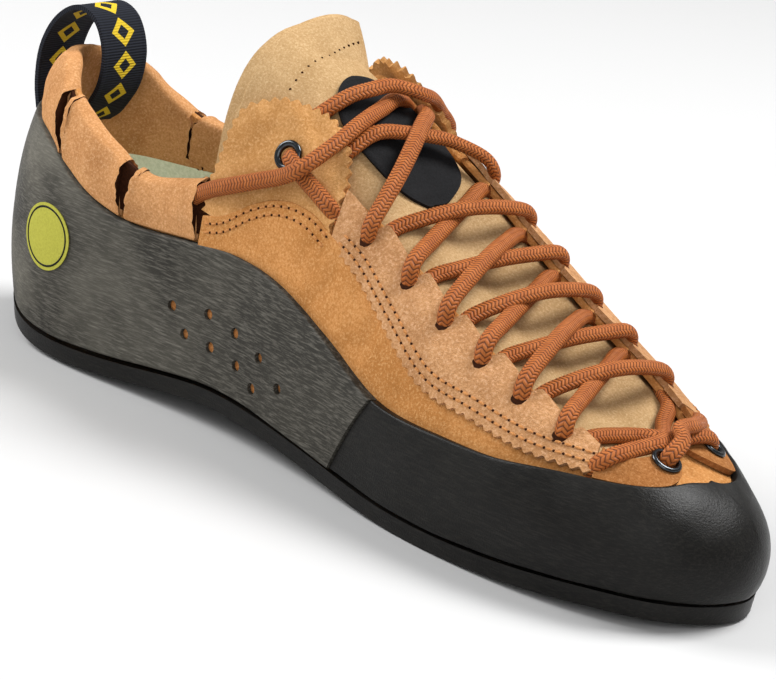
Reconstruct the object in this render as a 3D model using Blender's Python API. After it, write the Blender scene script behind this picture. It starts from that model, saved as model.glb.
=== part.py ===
"""A lace-up climbing shoe for the left foot, in metres, +X to the toe, +Y to the outer side, +Z up.

The origin is the middle of the heel's flat spot on the floor. Every piece of the upper is a patch of
one last. A place on the last is (t, s): t counts the sections, 0 at the back of the heel and TOE at
the tip, with the inner (medial) side positive and the outer (lateral) side negative, and s runs from
0 at the edge of the foot bed to 1 on the ridge along the top. A third number is the height above the
last's skin, so that the layers of suede and rubber lie on each other with a known gap.
"""

import math

import bmesh
import bpy
import numpy as np
from mathutils import Matrix, Vector

# The last
LAST_LENGTH = 0.244
BALL_HALF = 0.040  # half the width of the last at the ball
CONE_HEIGHT = 0.104  # floor to the ridge over the ankle
ARCH_LIFT = 0.005  # how far the waist rises on the inner side
HEEL_SEAT = 0.16  # share of the length from the heel's back to the origin

# Thicknesses
SOLE = 0.0046
SUEDE = 0.0018  # the upper's wall
RAND = 0.0022  # rubber round the foot
RAND_STEP = 0.0007  # the heel rand's end stands up over the toe rand
OVERLAY = 0.0015  # eyestays, flaps and toe tabs
BAND = 0.0026  # folded collar band with the lace inside
TONGUE = 0.0016
PATCH = 0.0008
INSOLE = 0.0015
WEBBING = 0.0013
GAP = 0.0003
LAYER_GAP = 0.0004  # between curved layers
SOLE_SAG = 0.0030  # the foot bed's hollow between its edges

# Openings, holes and trim
THROAT_HALF = 0.022  # ridge to the throat's edge
PERFORATION = 0.0015  # radius
LACE = 0.0020  # radius
LACE_EASE = 0.0004  # play of the lace in its holes
EYELET_BORE = 0.0023
EYELET_WALL = 0.0006
EYELET_RIM = 0.0017  # width of the flange round the barrel
EYELET_HEIGHT = 0.0010
EYELET_DEPTH = 0.0008  # how far the barrel reaches down through the suede
EYELET_ROUND = 0.0004
LOOP_WIDTH = 0.0155
STRIP_T = 1.05  # half width of the rubber strip up the heel's back, in sections
STRIP_S = 0.30  # its height up the back
STRIP_GAP = 0.06  # between the strip and the rand's notch, in sections
LOW_S = 0.004  # where the rubber begins above the sole
EDGE_LIFT = 0.0012  # edge of the foot bed above the sole's top at the lowest section
SEAM_S = 0.005  # the gap at a seam, as a share of s
SEAM_T = 0.017  # and in sections

EYELET_BARREL = EYELET_BORE + EYELET_WALL
EYELET_FLANGE = EYELET_BARREL + EYELET_RIM
RAND_OUT = SUEDE + LAYER_GAP + RAND
OVER_IN = SUEDE + LAYER_GAP
OVER_OUT = OVER_IN + OVERLAY
BAND_OUT = OVER_IN + BAND
TONGUE_DEPTH = 3 * GAP  # the tongue's face below the last's skin
LACE_RIDE = OVER_OUT + 2 * GAP + LACE

# One row for each section of the last, heel first. Columns: ridge x, y, z, foot bed edge x and y on the
# inner and on the outer side, steepness and bulge of the side wall, roundness of the top, edge lift.
# x is a share of LAST_LENGTH, y and bulge of BALL_HALF, z of CONE_HEIGHT and lift of ARCH_LIFT.
COLUMNS = (
    "ridge_x", "ridge_y", "ridge_z", "in_x", "in_y", "out_x", "out_y", "steep_in", "steep_out",
    "bulge_in", "bulge_out", "round_in", "round_out", "lift_in", "lift_out",
)
SECTIONS = (
    (0.120, 0.01, 0.950, 0.000, 0.00, 0.000, 0.00, 0.50, 0.50, 0.245, 0.245, 0.60, 0.60, 1.60, 1.60),
    (0.140, 0.01, 0.970, 0.022, 0.38, 0.022, 0.35, 0.50, 0.50, 0.210, 0.210, 0.50, 0.50, 1.42, 1.45),
    (0.175, 0.01, 0.985, 0.075, 0.62, 0.075, 0.56, 0.55, 0.55, 0.125, 0.125, 0.66, 0.66, 0.36, 0.38),
    (0.220, 0.01, 0.985, 0.160, 0.69, 0.160, 0.65, 0.60, 0.60, 0.075, 0.085, 0.80, 0.80, 0.10, 0.00),
    (0.275, 0.02, 0.980, 0.260, 0.67, 0.260, 0.70, 0.62, 0.62, 0.025, 0.050, 0.90, 0.90, 0.46, 0.00),
    (0.345, 0.02, 0.940, 0.360, 0.69, 0.360, 0.77, 0.60, 0.60, 0.000, 0.025, 0.85, 0.85, 1.00, 0.20),
    (0.420, 0.00, 0.860, 0.455, 0.75, 0.455, 0.85, 0.55, 0.55, 0.025, 0.025, 0.75, 0.75, 0.92, 0.34),
    (0.505, -0.02, 0.760, 0.555, 0.83, 0.550, 0.95, 0.52, 0.50, 0.075, 0.040, 0.70, 0.65, 0.44, 0.16),
    (0.600, -0.09, 0.645, 0.655, 0.93, 0.640, 1.03, 0.50, 0.45, 0.100, 0.050, 0.65, 0.60, 0.02, 0.00),
    (0.700, -0.16, 0.535, 0.755, 0.99, 0.730, 0.98, 0.50, 0.42, 0.100, 0.065, 0.65, 0.55, 0.04, 0.00),
    (0.790, -0.20, 0.445, 0.850, 0.98, 0.815, 0.79, 0.50, 0.42, 0.100, 0.075, 0.65, 0.55, 0.34, 0.06),
    (0.860, -0.25, 0.365, 0.930, 0.87, 0.890, 0.48, 0.50, 0.45, 0.100, 0.090, 0.70, 0.60, 0.62, 0.16),
    (0.895, -0.29, 0.315, 0.980, 0.64, 0.955, 0.17, 0.50, 0.48, 0.112, 0.100, 0.72, 0.68, 0.56, 0.30),
    (0.910, -0.33, 0.285, 1.000, 0.20, 1.000, 0.20, 0.50, 0.50, 0.112, 0.112, 0.72, 0.72, 0.36, 0.36),
)
TOE = len(SECTIONS) - 1

# Upper edge of the rubber, and of the suede at the collar and flaps: section t, s inside, s outside
RAND_TOP = (
    (0.0, 0.375, 0.375), (1.2, 0.370, 0.365), (2.2, 0.335, 0.330), (2.7, 0.288, 0.295),
    (3.2, 0.250, 0.262), (4.5, 0.238, 0.242), (5.2, 0.262, 0.262), (6.1, 0.285, 0.280),
    (6.8, 0.275, 0.275), (7.8, 0.248, 0.262), (8.8, 0.295, 0.290), (9.5, 0.338, 0.330),
    (10.4, 0.435, 0.400), (11.0, 0.505, 0.460), (11.6, 0.590, 0.520), (12.2, 0.700, 0.600),
    (13.0, 0.760, 0.760),
)
COLLAR = (
    (0.0, 0.525, 0.525), (0.9, 0.525, 0.480), (1.5, 0.515, 0.415), (2.1, 0.475, 0.370),
    (2.7, 0.430, 0.345), (3.2, 0.375, 0.333), (3.75, 0.330, 0.328), (4.2, 0.345, 0.345),
    (4.6, 0.370, 0.370),
)
FLAP = (
    (4.66, 0.430, 0.450), (4.75, 0.560, 0.600), (4.95, 0.625, 0.690), (5.25, 0.680, 0.750),
    (5.55, 0.718, 0.775), (5.85, 0.742, 0.775), (6.10, 0.752, 0.760), (6.35, 0.722, 0.725),
    (6.50, 0.660, 0.665),
)
FLAP_ENDS = (4.66, 6.50)
FLAP_LOW = 0.30
UNDER_FLAP = 0.030  # the upper's edge below the flap's and the collar band's, in s
UNDER_BAND = 0.012
THROAT_FROM = 6.35  # where the upper's edge turns from flap to throat, and its run
THROAT_BLEND = 0.45
THROAT_FRONT = (10.6, 1.6, 0.93)  # section and run where the throat closes, and s of its tip
EYESTAY_ENDS = (6.60, 10.58)
OVER_EDGE = 0.012  # eyestay and toe tab past the throat's edge, in s
TAB_ENDS = (10.62, 12.12)
TAB_TOP = 0.90
EYESTAY_LOW = (
    (6.40, 0.460, 0.450), (7.00, 0.462, 0.440), (7.60, 0.425, 0.410), (8.40, 0.368, 0.372),
    (8.90, 0.385, 0.385), (9.80, 0.405, 0.400), (10.60, 0.470, 0.450),
)
FLAP_FLARE = (0.0, 0.0050)  # how far the flap's top leans out, inside and outside
FLARE_FROM = 0.62  # where it starts to lean, and how much of s it takes
FLARE_RUN = 0.15
TONGUE_EDGE = 0.0060  # how far the tongue runs on under the eyestay
TONGUE_ENDS = (4.60, 12.35)
TONGUE_TAPER = (11.0, 1.4, 0.010)  # section, run and depth of its taper
TONGUE_TOP = (0.0220, 0.0145)  # half widths at its top, inside and outside
TONGUE_FREE = 5.25  # the section where it comes free of the flaps
TONGUE_SPREAD = 1.1  # sections over which it spreads to full width
TONGUE_TWIST = 0.0070  # its free outer corner stands up off the last
TWIST_FROM = -0.2  # share across where that starts
PATCH_ENDS = (5.40, 7.50)
PATCH_HALF = 0.0125
JOINT_LOW = 7.20  # where the heel rand ends on the toe rand, at its bottom and per s above it
JOINT_SLANT = 2.3
JOINT_REACH = (6.2, 9.2)  # sections where the slant has faded out, behind and in front
STEP_FROM = 5.6  # where the heel rand starts to thicken towards its end, and the run
STEP_RUN = 1.0
STOPS = (  # the sections where layers have their corners, closer together where the form turns
    0.35, 0.70, 1.05, 1.40, 1.75, 2.10, 2.50, 3.00, 3.50, 4.00, 4.40, 4.60,
    4.75, 4.95, 5.25, 5.55, 5.85, 6.10, 6.35, 6.60, 6.85, 7.20, 7.60, 8.00,
    8.40, 8.80, 9.20, 9.60, 10.00, 10.40, 10.80, 11.20, 11.60, 12.00, 12.35, 12.70,
)
NOTCH_ANGLES = (0, 20, 40, 58, 72, 82, 90)  # corners of the rand's notch for the heel strip
HEEL_RAND_STOPS = (1.30, 1.70, 2.10, 2.50, 3.00, 3.47, 3.93, 4.40, 4.87, 5.33, 5.80, 6.27, 6.73)
TOE_RAND_STOPS = (7.60, 8.00, 8.40, 8.82, 9.23, 9.65, 10.07, 10.48, 10.90, 11.30, 11.70, 12.05, 12.40, 12.70)
LACE_SECTIONS = (7.06, 7.75, 8.34, 8.91, 9.49, 10.11)
PUNCH_DEPTH = 0.016
STOP_CLEAR = 0.06  # no shared section closer than this to a piece's end
SOLE_TOE = ((12.55, 1.0), (12.2, 0.68), (11.8, 0.36), (11.4, 0.12), (11.0, 0.0))  # section, bow of the row
SOLE_MIDDLE = (10.5, 3.0, 0.65)  # first and last section of the straight rows, and their step
SOLE_HEEL = ((2.6, 0.04), (2.2, 0.2), (1.8, 0.5), (1.4, 0.78), (1.0, 1.0))
INSOLE_SHARE = 0.93  # how far across the insole reaches, and how far inside the last's edge
INSOLE_EDGE = 0.002
LACE_INSET = 0.0032  # holes behind the throat's edge
LACE_TOP = (6.2, 0.70)  # where the top crossing slips under the flap
ANKLE_LACE = ((4.72, 0.335), (6.45, 0.50))  # the lace's run over the ankle flap, and its bow in s
ANKLE_BOW = 0.055
PERFORATIONS = (
    (4.42, 0.116), (4.99, 0.128), (5.46, 0.124), (5.93, 0.116), (6.31, 0.088),
    (4.66, 0.076), (5.08, 0.072), (5.55, 0.068), (5.86, 0.047),
)
TOP_EYELETS = ((5.67, 0.562), (-5.67, 0.562))
TOE_EYELETS = ((11.70, 0.770), (-11.55, 0.690))
COLLAR_SPLITS = (2.40, 3.52, 4.58)  # slots of the collar band, in sections
SPLIT = 0.05  # half a slot, in sections
LOOP_PATH = (  # s and height above the skin of the loop's inner face, up behind the heel and down inside
    (0.340, RAND_OUT + GAP), (0.397, 0.0080), (0.474, 0.0104), (0.558, 0.0097), (0.632, 0.0056),
    (0.654, -0.0015), (0.603, -0.0085), (0.504, -0.0117), (0.404, -0.0097), (0.355, -0.0063),
)


def periodic(values):
    """Smooth closed curve through values at 0, 1, 2 ..., as a function of t."""
    values = np.asarray(values, float)
    count = len(values)
    matrix = 4.0 * np.eye(count) + np.roll(np.eye(count), 1, axis=1) + np.roll(np.eye(count), -1, axis=1)
    slope = np.linalg.solve(matrix, 3.0 * (np.roll(values, -1) - np.roll(values, 1)))

    def at(t):
        t = np.mod(np.asarray(t, float), count)
        here = np.floor(t).astype(int) % count
        there = (here + 1) % count
        u = t - np.floor(t)
        return (
            values[here] * (1 + 2 * u) * (1 - u) ** 2 + slope[here] * u * (1 - u) ** 2
            + values[there] * u * u * (3 - 2 * u) - slope[there] * u * u * (1 - u)
        )

    return at


def ring(inner, outer):
    """Column values round the foot: the inner side from heel to toe, then the outer side back."""
    return np.concatenate([inner, outer[-2:0:-1]])


class Last:
    """The foot form that every layer of the shoe is a patch of."""

    def __init__(self):
        table = np.array(SECTIONS)
        column = {name: table[:, i] for i, name in enumerate(COLUMNS)}
        outer_y = column["out_y"].copy()
        outer_y[-1] = -column["in_y"][-1]
        edge_z = SOLE + GAP + EDGE_LIFT
        shift = HEEL_SEAT * LAST_LENGTH
        self.edge = [
            periodic(ring(column["in_x"], column["out_x"]) * LAST_LENGTH - shift),
            periodic(ring(-column["in_y"], outer_y) * BALL_HALF),
            periodic(ring(column["lift_in"], column["lift_out"]) * ARCH_LIFT + edge_z),
        ]
        self.ridge = [
            periodic(ring(column["ridge_x"], column["ridge_x"]) * LAST_LENGTH - shift),
            periodic(ring(column["ridge_y"], column["ridge_y"]) * BALL_HALF),
            periodic(ring(column["ridge_z"], column["ridge_z"]) * CONE_HEIGHT),
        ]
        self.steep = periodic(ring(column["steep_in"], column["steep_out"]))
        self.bulge = periodic(ring(column["bulge_in"], column["bulge_out"]) * BALL_HALF)
        self.round = periodic(ring(column["round_in"], column["round_out"]))

    def point(self, t, s):
        """Places on the last's skin."""
        t, s = np.broadcast_arrays(np.asarray(t, float), np.asarray(s, float))
        foot = np.stack([f(t) for f in self.edge], -1)
        top = np.stack([f(t) for f in self.ridge], -1)
        step = 1e-3
        run = np.stack([f(t + step) - f(t - step) for f in self.edge[:2]], -1)
        run /= np.linalg.norm(run, axis=-1, keepdims=True)
        outward = np.stack([run[..., 1], -run[..., 0], 0 * run[..., 0]], -1)
        upward = np.array([0.0, 0.0, 1.0])
        rise = (top - foot)[..., 2:3]
        flat = (foot - top) * np.array([1.0, 1.0, 0.0])
        low = foot + upward * rise * self.steep(t)[..., None] + outward * self.bulge(t)[..., None] * 4 / 3
        high = top + flat * self.round(t)[..., None]
        s = s[..., None]
        return foot * (1 - s) ** 3 + 3 * low * s * (1 - s) ** 2 + 3 * high * s * s * (1 - s) + top * s**3

    def normal(self, t, s):
        """Outward directions of the skin."""
        step = 1e-3
        s = np.minimum(np.asarray(s, float), 1 - 2 * step)
        across = self.point(np.add(t, step), s) - self.point(np.subtract(t, step), s)
        upward = self.point(t, s + step) - self.point(t, s - step)
        out = np.cross(across, upward)
        return out / np.linalg.norm(out, axis=-1, keepdims=True)

    def skin(self, t, s, height):
        """Places at a height above the skin."""
        return self.point(t, s) + self.normal(t, s) * np.asarray(height, float)[..., None]

    def inset(self, t, distance):
        """The s that lies a plan distance from the ridge, at each t."""
        t = np.asarray(t, float)
        shares = np.linspace(0.2, 1.0, 81)
        plan = self.point(t[..., None], shares)[..., :2]
        away = np.linalg.norm(plan - plan[..., -1:, :], axis=-1)
        wanted = np.broadcast_to(distance, t.shape).ravel()
        found = [np.interp(-d, -row, shares) for d, row in zip(wanted, away.reshape(-1, len(shares)))]
        return np.array(found).reshape(t.shape)


LAST = Last()


def along(table, t):
    """The s of an edge table at signed sections t, smooth through its rows."""
    rows = np.array(table)
    t = np.asarray(t, float)
    size = np.abs(t)
    values = np.empty(t.shape)
    for side, mask in ((1, t >= 0), (2, t < 0)):
        x, y = rows[:, 0], rows[:, side]
        slope = np.gradient(y, x)
        i = np.clip(np.searchsorted(x, size[mask], side="right") - 1, 0, len(x) - 2)
        width = x[i + 1] - x[i]
        u = np.clip((size[mask] - x[i]) / width, 0, 1)
        values[mask] = (
            y[i] * (1 + 2 * u) * (1 - u) ** 2 + slope[i] * width * u * (1 - u) ** 2
            + y[i + 1] * u * u * (3 - 2 * u) - slope[i + 1] * width * u * u * (1 - u)
        )
    return values


def finish(name, bm, color, roughness=0.8, metallic=0.0):
    """Makes a named object with its own material from a bmesh."""
    bmesh.ops.recalc_face_normals(bm, faces=bm.faces)
    mesh = bpy.data.meshes.new(name)
    bm.to_mesh(mesh)
    bm.free()
    mesh.shade_smooth()
    mesh.set_sharp_from_angle(angle=math.radians(40))
    material = bpy.data.materials.new(name)
    material.use_nodes = True
    shader = material.node_tree.nodes["Principled BSDF"]
    shader.inputs["Base Color"].default_value = (*color, 1.0)
    shader.inputs["Roughness"].default_value = roughness
    shader.inputs["Metallic"].default_value = metallic
    mesh.materials.append(material)
    obj = bpy.data.objects.new(name, mesh)
    bpy.context.scene.collection.objects.link(obj)
    return obj


def layers(name, inside, outside, color, closed=False, **finish_options):
    """Closed solid between two grids of points of the same shape; closed joins the last row to the first."""
    rows, columns = inside.shape[:2]
    bm = bmesh.new()
    low = [[bm.verts.new(p) for p in row] for row in inside]
    high = [[bm.verts.new(p) for p in row] for row in outside]
    spans = rows if closed else rows - 1
    for i in range(spans):
        k = (i + 1) % rows
        for j in range(columns - 1):
            bm.faces.new((high[i][j], high[k][j], high[k][j + 1], high[i][j + 1]))
            bm.faces.new((low[i][j], low[i][j + 1], low[k][j + 1], low[k][j]))
        for j in (0, columns - 1):
            bm.faces.new((low[i][j], low[k][j], high[k][j], high[i][j]))
    for i in () if closed else (0, rows - 1):
        for j in range(columns - 1):
            bm.faces.new((low[i][j], low[i][j + 1], high[i][j + 1], high[i][j]))
    return finish(name, bm, color, **finish_options)


def patch(name, t, s, inner, outer, color, closed=False, **finish_options):
    """Piece of the last between two heights, over a grid of t and s."""
    t, s = np.broadcast_arrays(t, s)
    faces = [LAST.skin(t, s, height + 0 * s) for height in (inner, outer)]
    return layers(name, *faces, color, closed, **finish_options)


def between(low, high, steps):
    """Grid columns from one edge to the other, one row for each section."""
    share = np.linspace(0.0, 1.0, steps + 1)
    return low[:, None] * (1 - share) + high[:, None] * share


def sections(start, end, step):
    """Evenly spaced sections, about a step apart."""
    return np.linspace(start, end, max(2, round(abs(end - start) / step)) + 1)


def punch(obj, places, radius):
    """Cuts round holes through a piece, square to the last at each (t, s)."""
    bm = bmesh.new()
    for t, s in places:
        spot = Vector(LAST.skin(t, s, 0.0))
        turn = Vector(LAST.normal(t, s)).to_track_quat("Z", "Y").to_matrix().to_4x4()
        bmesh.ops.create_cone(
            bm, cap_ends=True, segments=10, radius1=radius, radius2=radius, depth=PUNCH_DEPTH,
            matrix=Matrix.Translation(spot) @ turn,
        )
    cutter = finish(obj.name + "_punch", bm, (0.5, 0.5, 0.5))
    cutter.hide_render = True
    cutter.display_type = "WIRE"
    cut = obj.modifiers.new("punch", "BOOLEAN")
    cut.operation = "DIFFERENCE"
    cut.object = cutter
    return obj


def side_name(name, side):
    """Name of one of a pair."""
    return name + ("_medial" if side > 0 else "_lateral")


RUBBER = (0.045, 0.046, 0.044)
RUBBER_TOE = (0.022, 0.022, 0.021)
SUEDE_TAN = (0.52, 0.26, 0.10)
SUEDE_LIGHT = (0.58, 0.32, 0.15)
SUEDE_BROWN = (0.42, 0.20, 0.08)
SUEDE_ROUGH = (0.50, 0.27, 0.14)
TONGUE_TAN = (0.56, 0.42, 0.25)
RUSSET = (0.32, 0.11, 0.035)


def throat_edge(t):
    """The s of the upper's edge along the throat, closing round its front end."""
    t = np.asarray(t, float)
    start, run, tip = THROAT_FRONT
    front = np.clip((np.abs(t) - start) / run, 0, 1)
    ease = front * front * (3 - 2 * front)
    return LAST.inset(t, THROAT_HALF) * (1 - ease) + tip * ease


def upper_edge(t):
    """The s of the upper's whole upper edge: collar, flap and throat."""
    t = np.asarray(t, float)
    size = np.abs(t)
    flap = along(FLAP, t) - UNDER_FLAP
    value = np.where(size < COLLAR[-1][0], along(COLLAR, t) - UNDER_BAND, flap)
    blend = np.clip((size - THROAT_FROM) / THROAT_BLEND, 0, 1)
    return np.where(size < THROAT_FROM, value, flap * (1 - blend) + throat_edge(t) * blend)


def stops(start, end):
    """Sections from start to end that all layers share, so that their facets lie over each other."""
    inside = [t for t in STOPS if start + STOP_CLEAR < t < end - STOP_CLEAR]
    return np.array([start, *inside, end])


def ring_stops():
    """The shared sections all round the foot."""
    size = stops(0.0, TOE)
    return np.concatenate([size, -size[-2:0:-1]])


def build_upper():
    """The hollow suede upper, open at the collar, along the throat and underneath."""
    t = ring_stops()
    s = between(0.0 * t, upper_edge(t), 5)
    upper = patch("upper", t[:, None], s, 0.0, SUEDE, SUEDE_TAN, closed=True)
    return punch(upper, TOP_EYELETS, EYELET_BARREL + GAP)


def sole_rows():
    """Rows of the foot bed from toe to heel: section of the ends, and how far each bows to the outline."""
    middle = [(float(t), 0.0) for t in sections(*SOLE_MIDDLE)]
    return [*SOLE_TOE, *middle, *SOLE_HEEL]


def bed(height, shares, drop):
    """Grid of the foot bed at a height from the edge of the last, sagging towards its middle."""
    grid = []
    for t, bow in sole_rows():
        toe_end = t > TOE / 2
        ends = [LAST.skin(x, 0.0, height) for x in (t, -t)]
        row = []
        for w in shares:
            chord = ends[0] * (1 - w) / 2 + ends[1] * (1 + w) / 2
            arc = LAST.skin(TOE + (TOE - t) * w if toe_end else -t * w, 0.0, height)
            place = chord * (1 - bow) + arc * bow
            place[2] -= drop * (1 - w * w) * (1 - bow)
            row.append(place)
        grid.append(row)
    return np.array(grid)


def build_outsole():
    """One rubber sheet with arch and toe spring, flat on the floor under heel and forefoot."""
    core = bed(0.0, np.linspace(-1.0, 1.0, 7), SOLE_SAG)
    rim = bed(RAND_OUT, np.array([-1.0, 1.0]), 0.0)
    top = np.concatenate([rim[:, :1], core, rim[:, 1:]], axis=1)
    spread = np.linspace(-1.0, 1.0, top.shape[1])
    outline = bed(RAND_OUT, spread, 0.0)
    top[0], top[-1] = outline[0], outline[-1]
    top[..., 2] -= GAP
    bottom = top.copy()
    bottom[..., 2] = np.maximum(0.0, top[..., 2] - SOLE)
    inner = slice(2, -2)
    top[1:-1, inner, 2] = bottom[1:-1, inner, 2] + SOLE
    return layers("outsole", bottom, top, RUBBER_TOE)


def strip_edge(height):
    """Half width of the heel strip, as a share, at a share of its height."""
    return (1 - np.clip(height, 0, 1) ** 3) ** (1 / 3)


def build_heel_strip():
    """Rubber strip up the back of the heel, in the notch of the heel rand."""
    heights = np.array([0.0, 0.25, 0.5, 0.72, 0.88, 0.97])
    across = np.linspace(-1, 1, 9)
    reach = STRIP_T - STRIP_GAP
    t = across[None, :] * strip_edge(heights)[:, None] * reach
    s = np.repeat(LOW_S + heights[:, None] * (STRIP_S - LOW_S - STRIP_GAP / 8), len(across), axis=1)
    return patch("heel_strip", t, s, OVER_IN, RAND_OUT, RUBBER)


def build_heel_rand():
    """Rubber round the heel and along both waists to the ball, with the vent holes inside."""
    near = STRIP_T * np.sin(np.radians(NOTCH_ANGLES))
    size = np.concatenate([near, HEEL_RAND_STOPS, [JOINT_LOW]])
    t = np.concatenate([-size[:0:-1], size])
    notch = STRIP_S * (1 - np.clip(np.abs(t) / STRIP_T, 0, 1) ** 3) ** (1 / 3)
    low = np.where(np.abs(t) < STRIP_T, notch, LOW_S)
    end = np.clip((np.abs(t) - JOINT_REACH[0]) / (JOINT_LOW - JOINT_REACH[0]), 0, 1)
    share = np.linspace(0, 1, 5)
    grid_t = np.repeat(t[:, None], len(share), axis=1)
    top = along(RAND_TOP, t)
    for _ in range(4):
        top = along(RAND_TOP, t + np.sign(t) * end * JOINT_SLANT * top)
    grid_s = low[:, None] * (1 - share) + top[:, None] * share
    grid_t = grid_t + np.sign(t)[:, None] * end[:, None] * JOINT_SLANT * grid_s
    step = RAND_STEP * np.clip((np.abs(t) - STEP_FROM) / STEP_RUN, 0, 1)[:, None]
    rand = layers(
        "heel_rand", LAST.skin(grid_t, grid_s, OVER_IN + 0 * grid_s),
        LAST.skin(grid_t, grid_s, RAND_OUT + step + 0 * grid_s), RUBBER,
    )
    return punch(rand, PERFORATIONS, PERFORATION)


def build_toe_rand():
    """Rubber round the forefoot, butted against the heel rand on both sides."""
    start = JOINT_LOW + SEAM_T
    size = np.array([start, *TOE_RAND_STOPS, TOE])
    t = np.concatenate([size, -size[-2::-1]])
    blend = np.clip((JOINT_REACH[1] - np.abs(t)) / (JOINT_REACH[1] - start), 0, 1)
    share = np.linspace(0, 1, 5)
    top = along(RAND_TOP, t)
    for _ in range(4):
        top = along(RAND_TOP, t + np.sign(t) * blend * JOINT_SLANT * top)
    grid_s = LOW_S * (1 - share) + top[:, None] * share
    grid_t = t[:, None] + np.sign(t)[:, None] * blend[:, None] * JOINT_SLANT * grid_s
    return patch("toe_rand", grid_t, grid_s, OVER_IN, RAND_OUT, RUBBER_TOE)


def build_insole():
    """Thin pale sheet on the foot bed, clear of the upper's wall."""
    shares = np.linspace(-INSOLE_SHARE, INSOLE_SHARE, 5)
    grid = bed(-INSOLE_EDGE, shares, SOLE_SAG)[1:-1]
    base = np.maximum(grid[..., 2] - GAP - SOLE, 0.0) + SOLE + GAP
    low, high = grid.copy(), grid.copy()
    low[..., 2] = base + GAP
    high[..., 2] = base + GAP + INSOLE
    return layers("insole", low, high, (0.55, 0.66, 0.48), roughness=0.9)


def over_ridge(t, share, reach):
    """Point grid across the ridge, share -1 on the inner side to 1 on the outer, as (t, s)."""
    signed = np.where(share <= 0, 1.0, -1.0) * t
    edge = LAST.inset(signed, reach)
    return signed, 1 - (1 - edge) * np.abs(share)


def tongue_reach(t, share):
    """Half width of the tongue in plan, inside (share below 0) and outside."""
    start, run, depth = TONGUE_TAPER
    below = np.clip((t - TONGUE_FREE) / TONGUE_SPREAD, 0, 1)
    top = np.where(share < 0, *TONGUE_TOP)
    return top + (THROAT_HALF + TONGUE_EDGE - top) * below - depth * np.clip((t - start) / run, 0, 1)


def tongue_lift(t, share):
    """How far the tongue stands off the last, from its skin at the lacing to its free outer corner."""
    free = np.clip((TONGUE_FREE - t) / (TONGUE_FREE - TONGUE_ENDS[0]), 0, 1)
    return TONGUE_TWIST * np.clip((share - TWIST_FROM) / (1 - TWIST_FROM), 0, 1) * free


def build_tongue():
    """Suede tongue under the lacing, standing up out of the collar at its top."""
    t, share = np.meshgrid(stops(*TONGUE_ENDS), np.linspace(-1, 1, 9), indexing="ij")
    signed, s = over_ridge(t, share, tongue_reach(t, share))
    face = tongue_lift(t, share) - TONGUE_DEPTH
    return patch("tongue", signed, s, face - TONGUE, face, TONGUE_TAN)


def build_tongue_patch():
    """Plain black patch sewn on the tongue."""
    t, share = np.meshgrid(stops(*PATCH_ENDS), np.linspace(-1, 1, 7), indexing="ij")
    signed, s = over_ridge(t, share, PATCH_HALF)
    back = tongue_lift(t, share * PATCH_HALF / tongue_reach(t, share)) - TONGUE_DEPTH + LAYER_GAP
    return patch("tongue_patch", signed, s, back, back + PATCH, (0.012, 0.012, 0.013))


def build_eyestay(side):
    """Suede band along the throat, with its six lace holes."""
    t = side * stops(*EYESTAY_ENDS)
    high = throat_edge(t) + OVER_EDGE
    low = along(EYESTAY_LOW, t)
    name = side_name("eyestay", side)
    stay = patch(name, t[:, None], between(low, high, 3), OVER_IN, OVER_OUT, SUEDE_ROUGH)
    return punch(stay, lace_holes(side), LACE + LACE_EASE)


def lace_holes(side):
    """Lace holes of one side as (t, s)."""
    t = side * np.array(LACE_SECTIONS)
    return list(zip(t, LAST.inset(t, THROAT_HALF + LACE_INSET)))


def flap_lean(side, s):
    """How far the flap stands off the last at a height s."""
    return np.where(side > 0, *FLAP_FLARE) * np.clip((s - FLARE_FROM) / FLARE_RUN, 0, 1.1) ** 2


def build_flap(side):
    """Ankle flap with the top eyelet, standing above the collar."""
    t = side * stops(*FLAP_ENDS)
    s = between(FLAP_LOW + 0.0 * t, along(FLAP, t), 5)
    lean = flap_lean(side, s)
    flap = layers(
        side_name("flap", side), LAST.skin(t[:, None] + 0 * s, s, OVER_IN + lean),
        LAST.skin(t[:, None] + 0 * s, s, OVER_OUT + lean), SUEDE_BROWN,
    )
    spot = TOP_EYELETS[0] if side > 0 else TOP_EYELETS[1]
    return punch(flap, [spot], EYELET_BARREL + GAP)


def build_collar_band(name, t):
    """Part of the folded band round the collar, which the lace runs through, over sections t."""
    low = along(RAND_TOP, t) + SEAM_S
    return patch(name, t[:, None], between(low, along(COLLAR, t), 3), OVER_IN, BAND_OUT, SUEDE_LIGHT)


def build_toe_tab(side):
    """Small suede tab with the toe eyelet."""
    t = side * stops(*TAB_ENDS)
    low = along(RAND_TOP, t) + 2 * SEAM_S
    high = np.minimum(throat_edge(t) + OVER_EDGE, TAB_TOP)
    tab = patch(side_name("toe_tab", side), t[:, None], between(low, high, 3), OVER_IN, OVER_OUT, RUSSET)
    spot = TOE_EYELETS[0] if side > 0 else TOE_EYELETS[1]
    return punch(tab, [spot], EYELET_BARREL + GAP)


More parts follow.
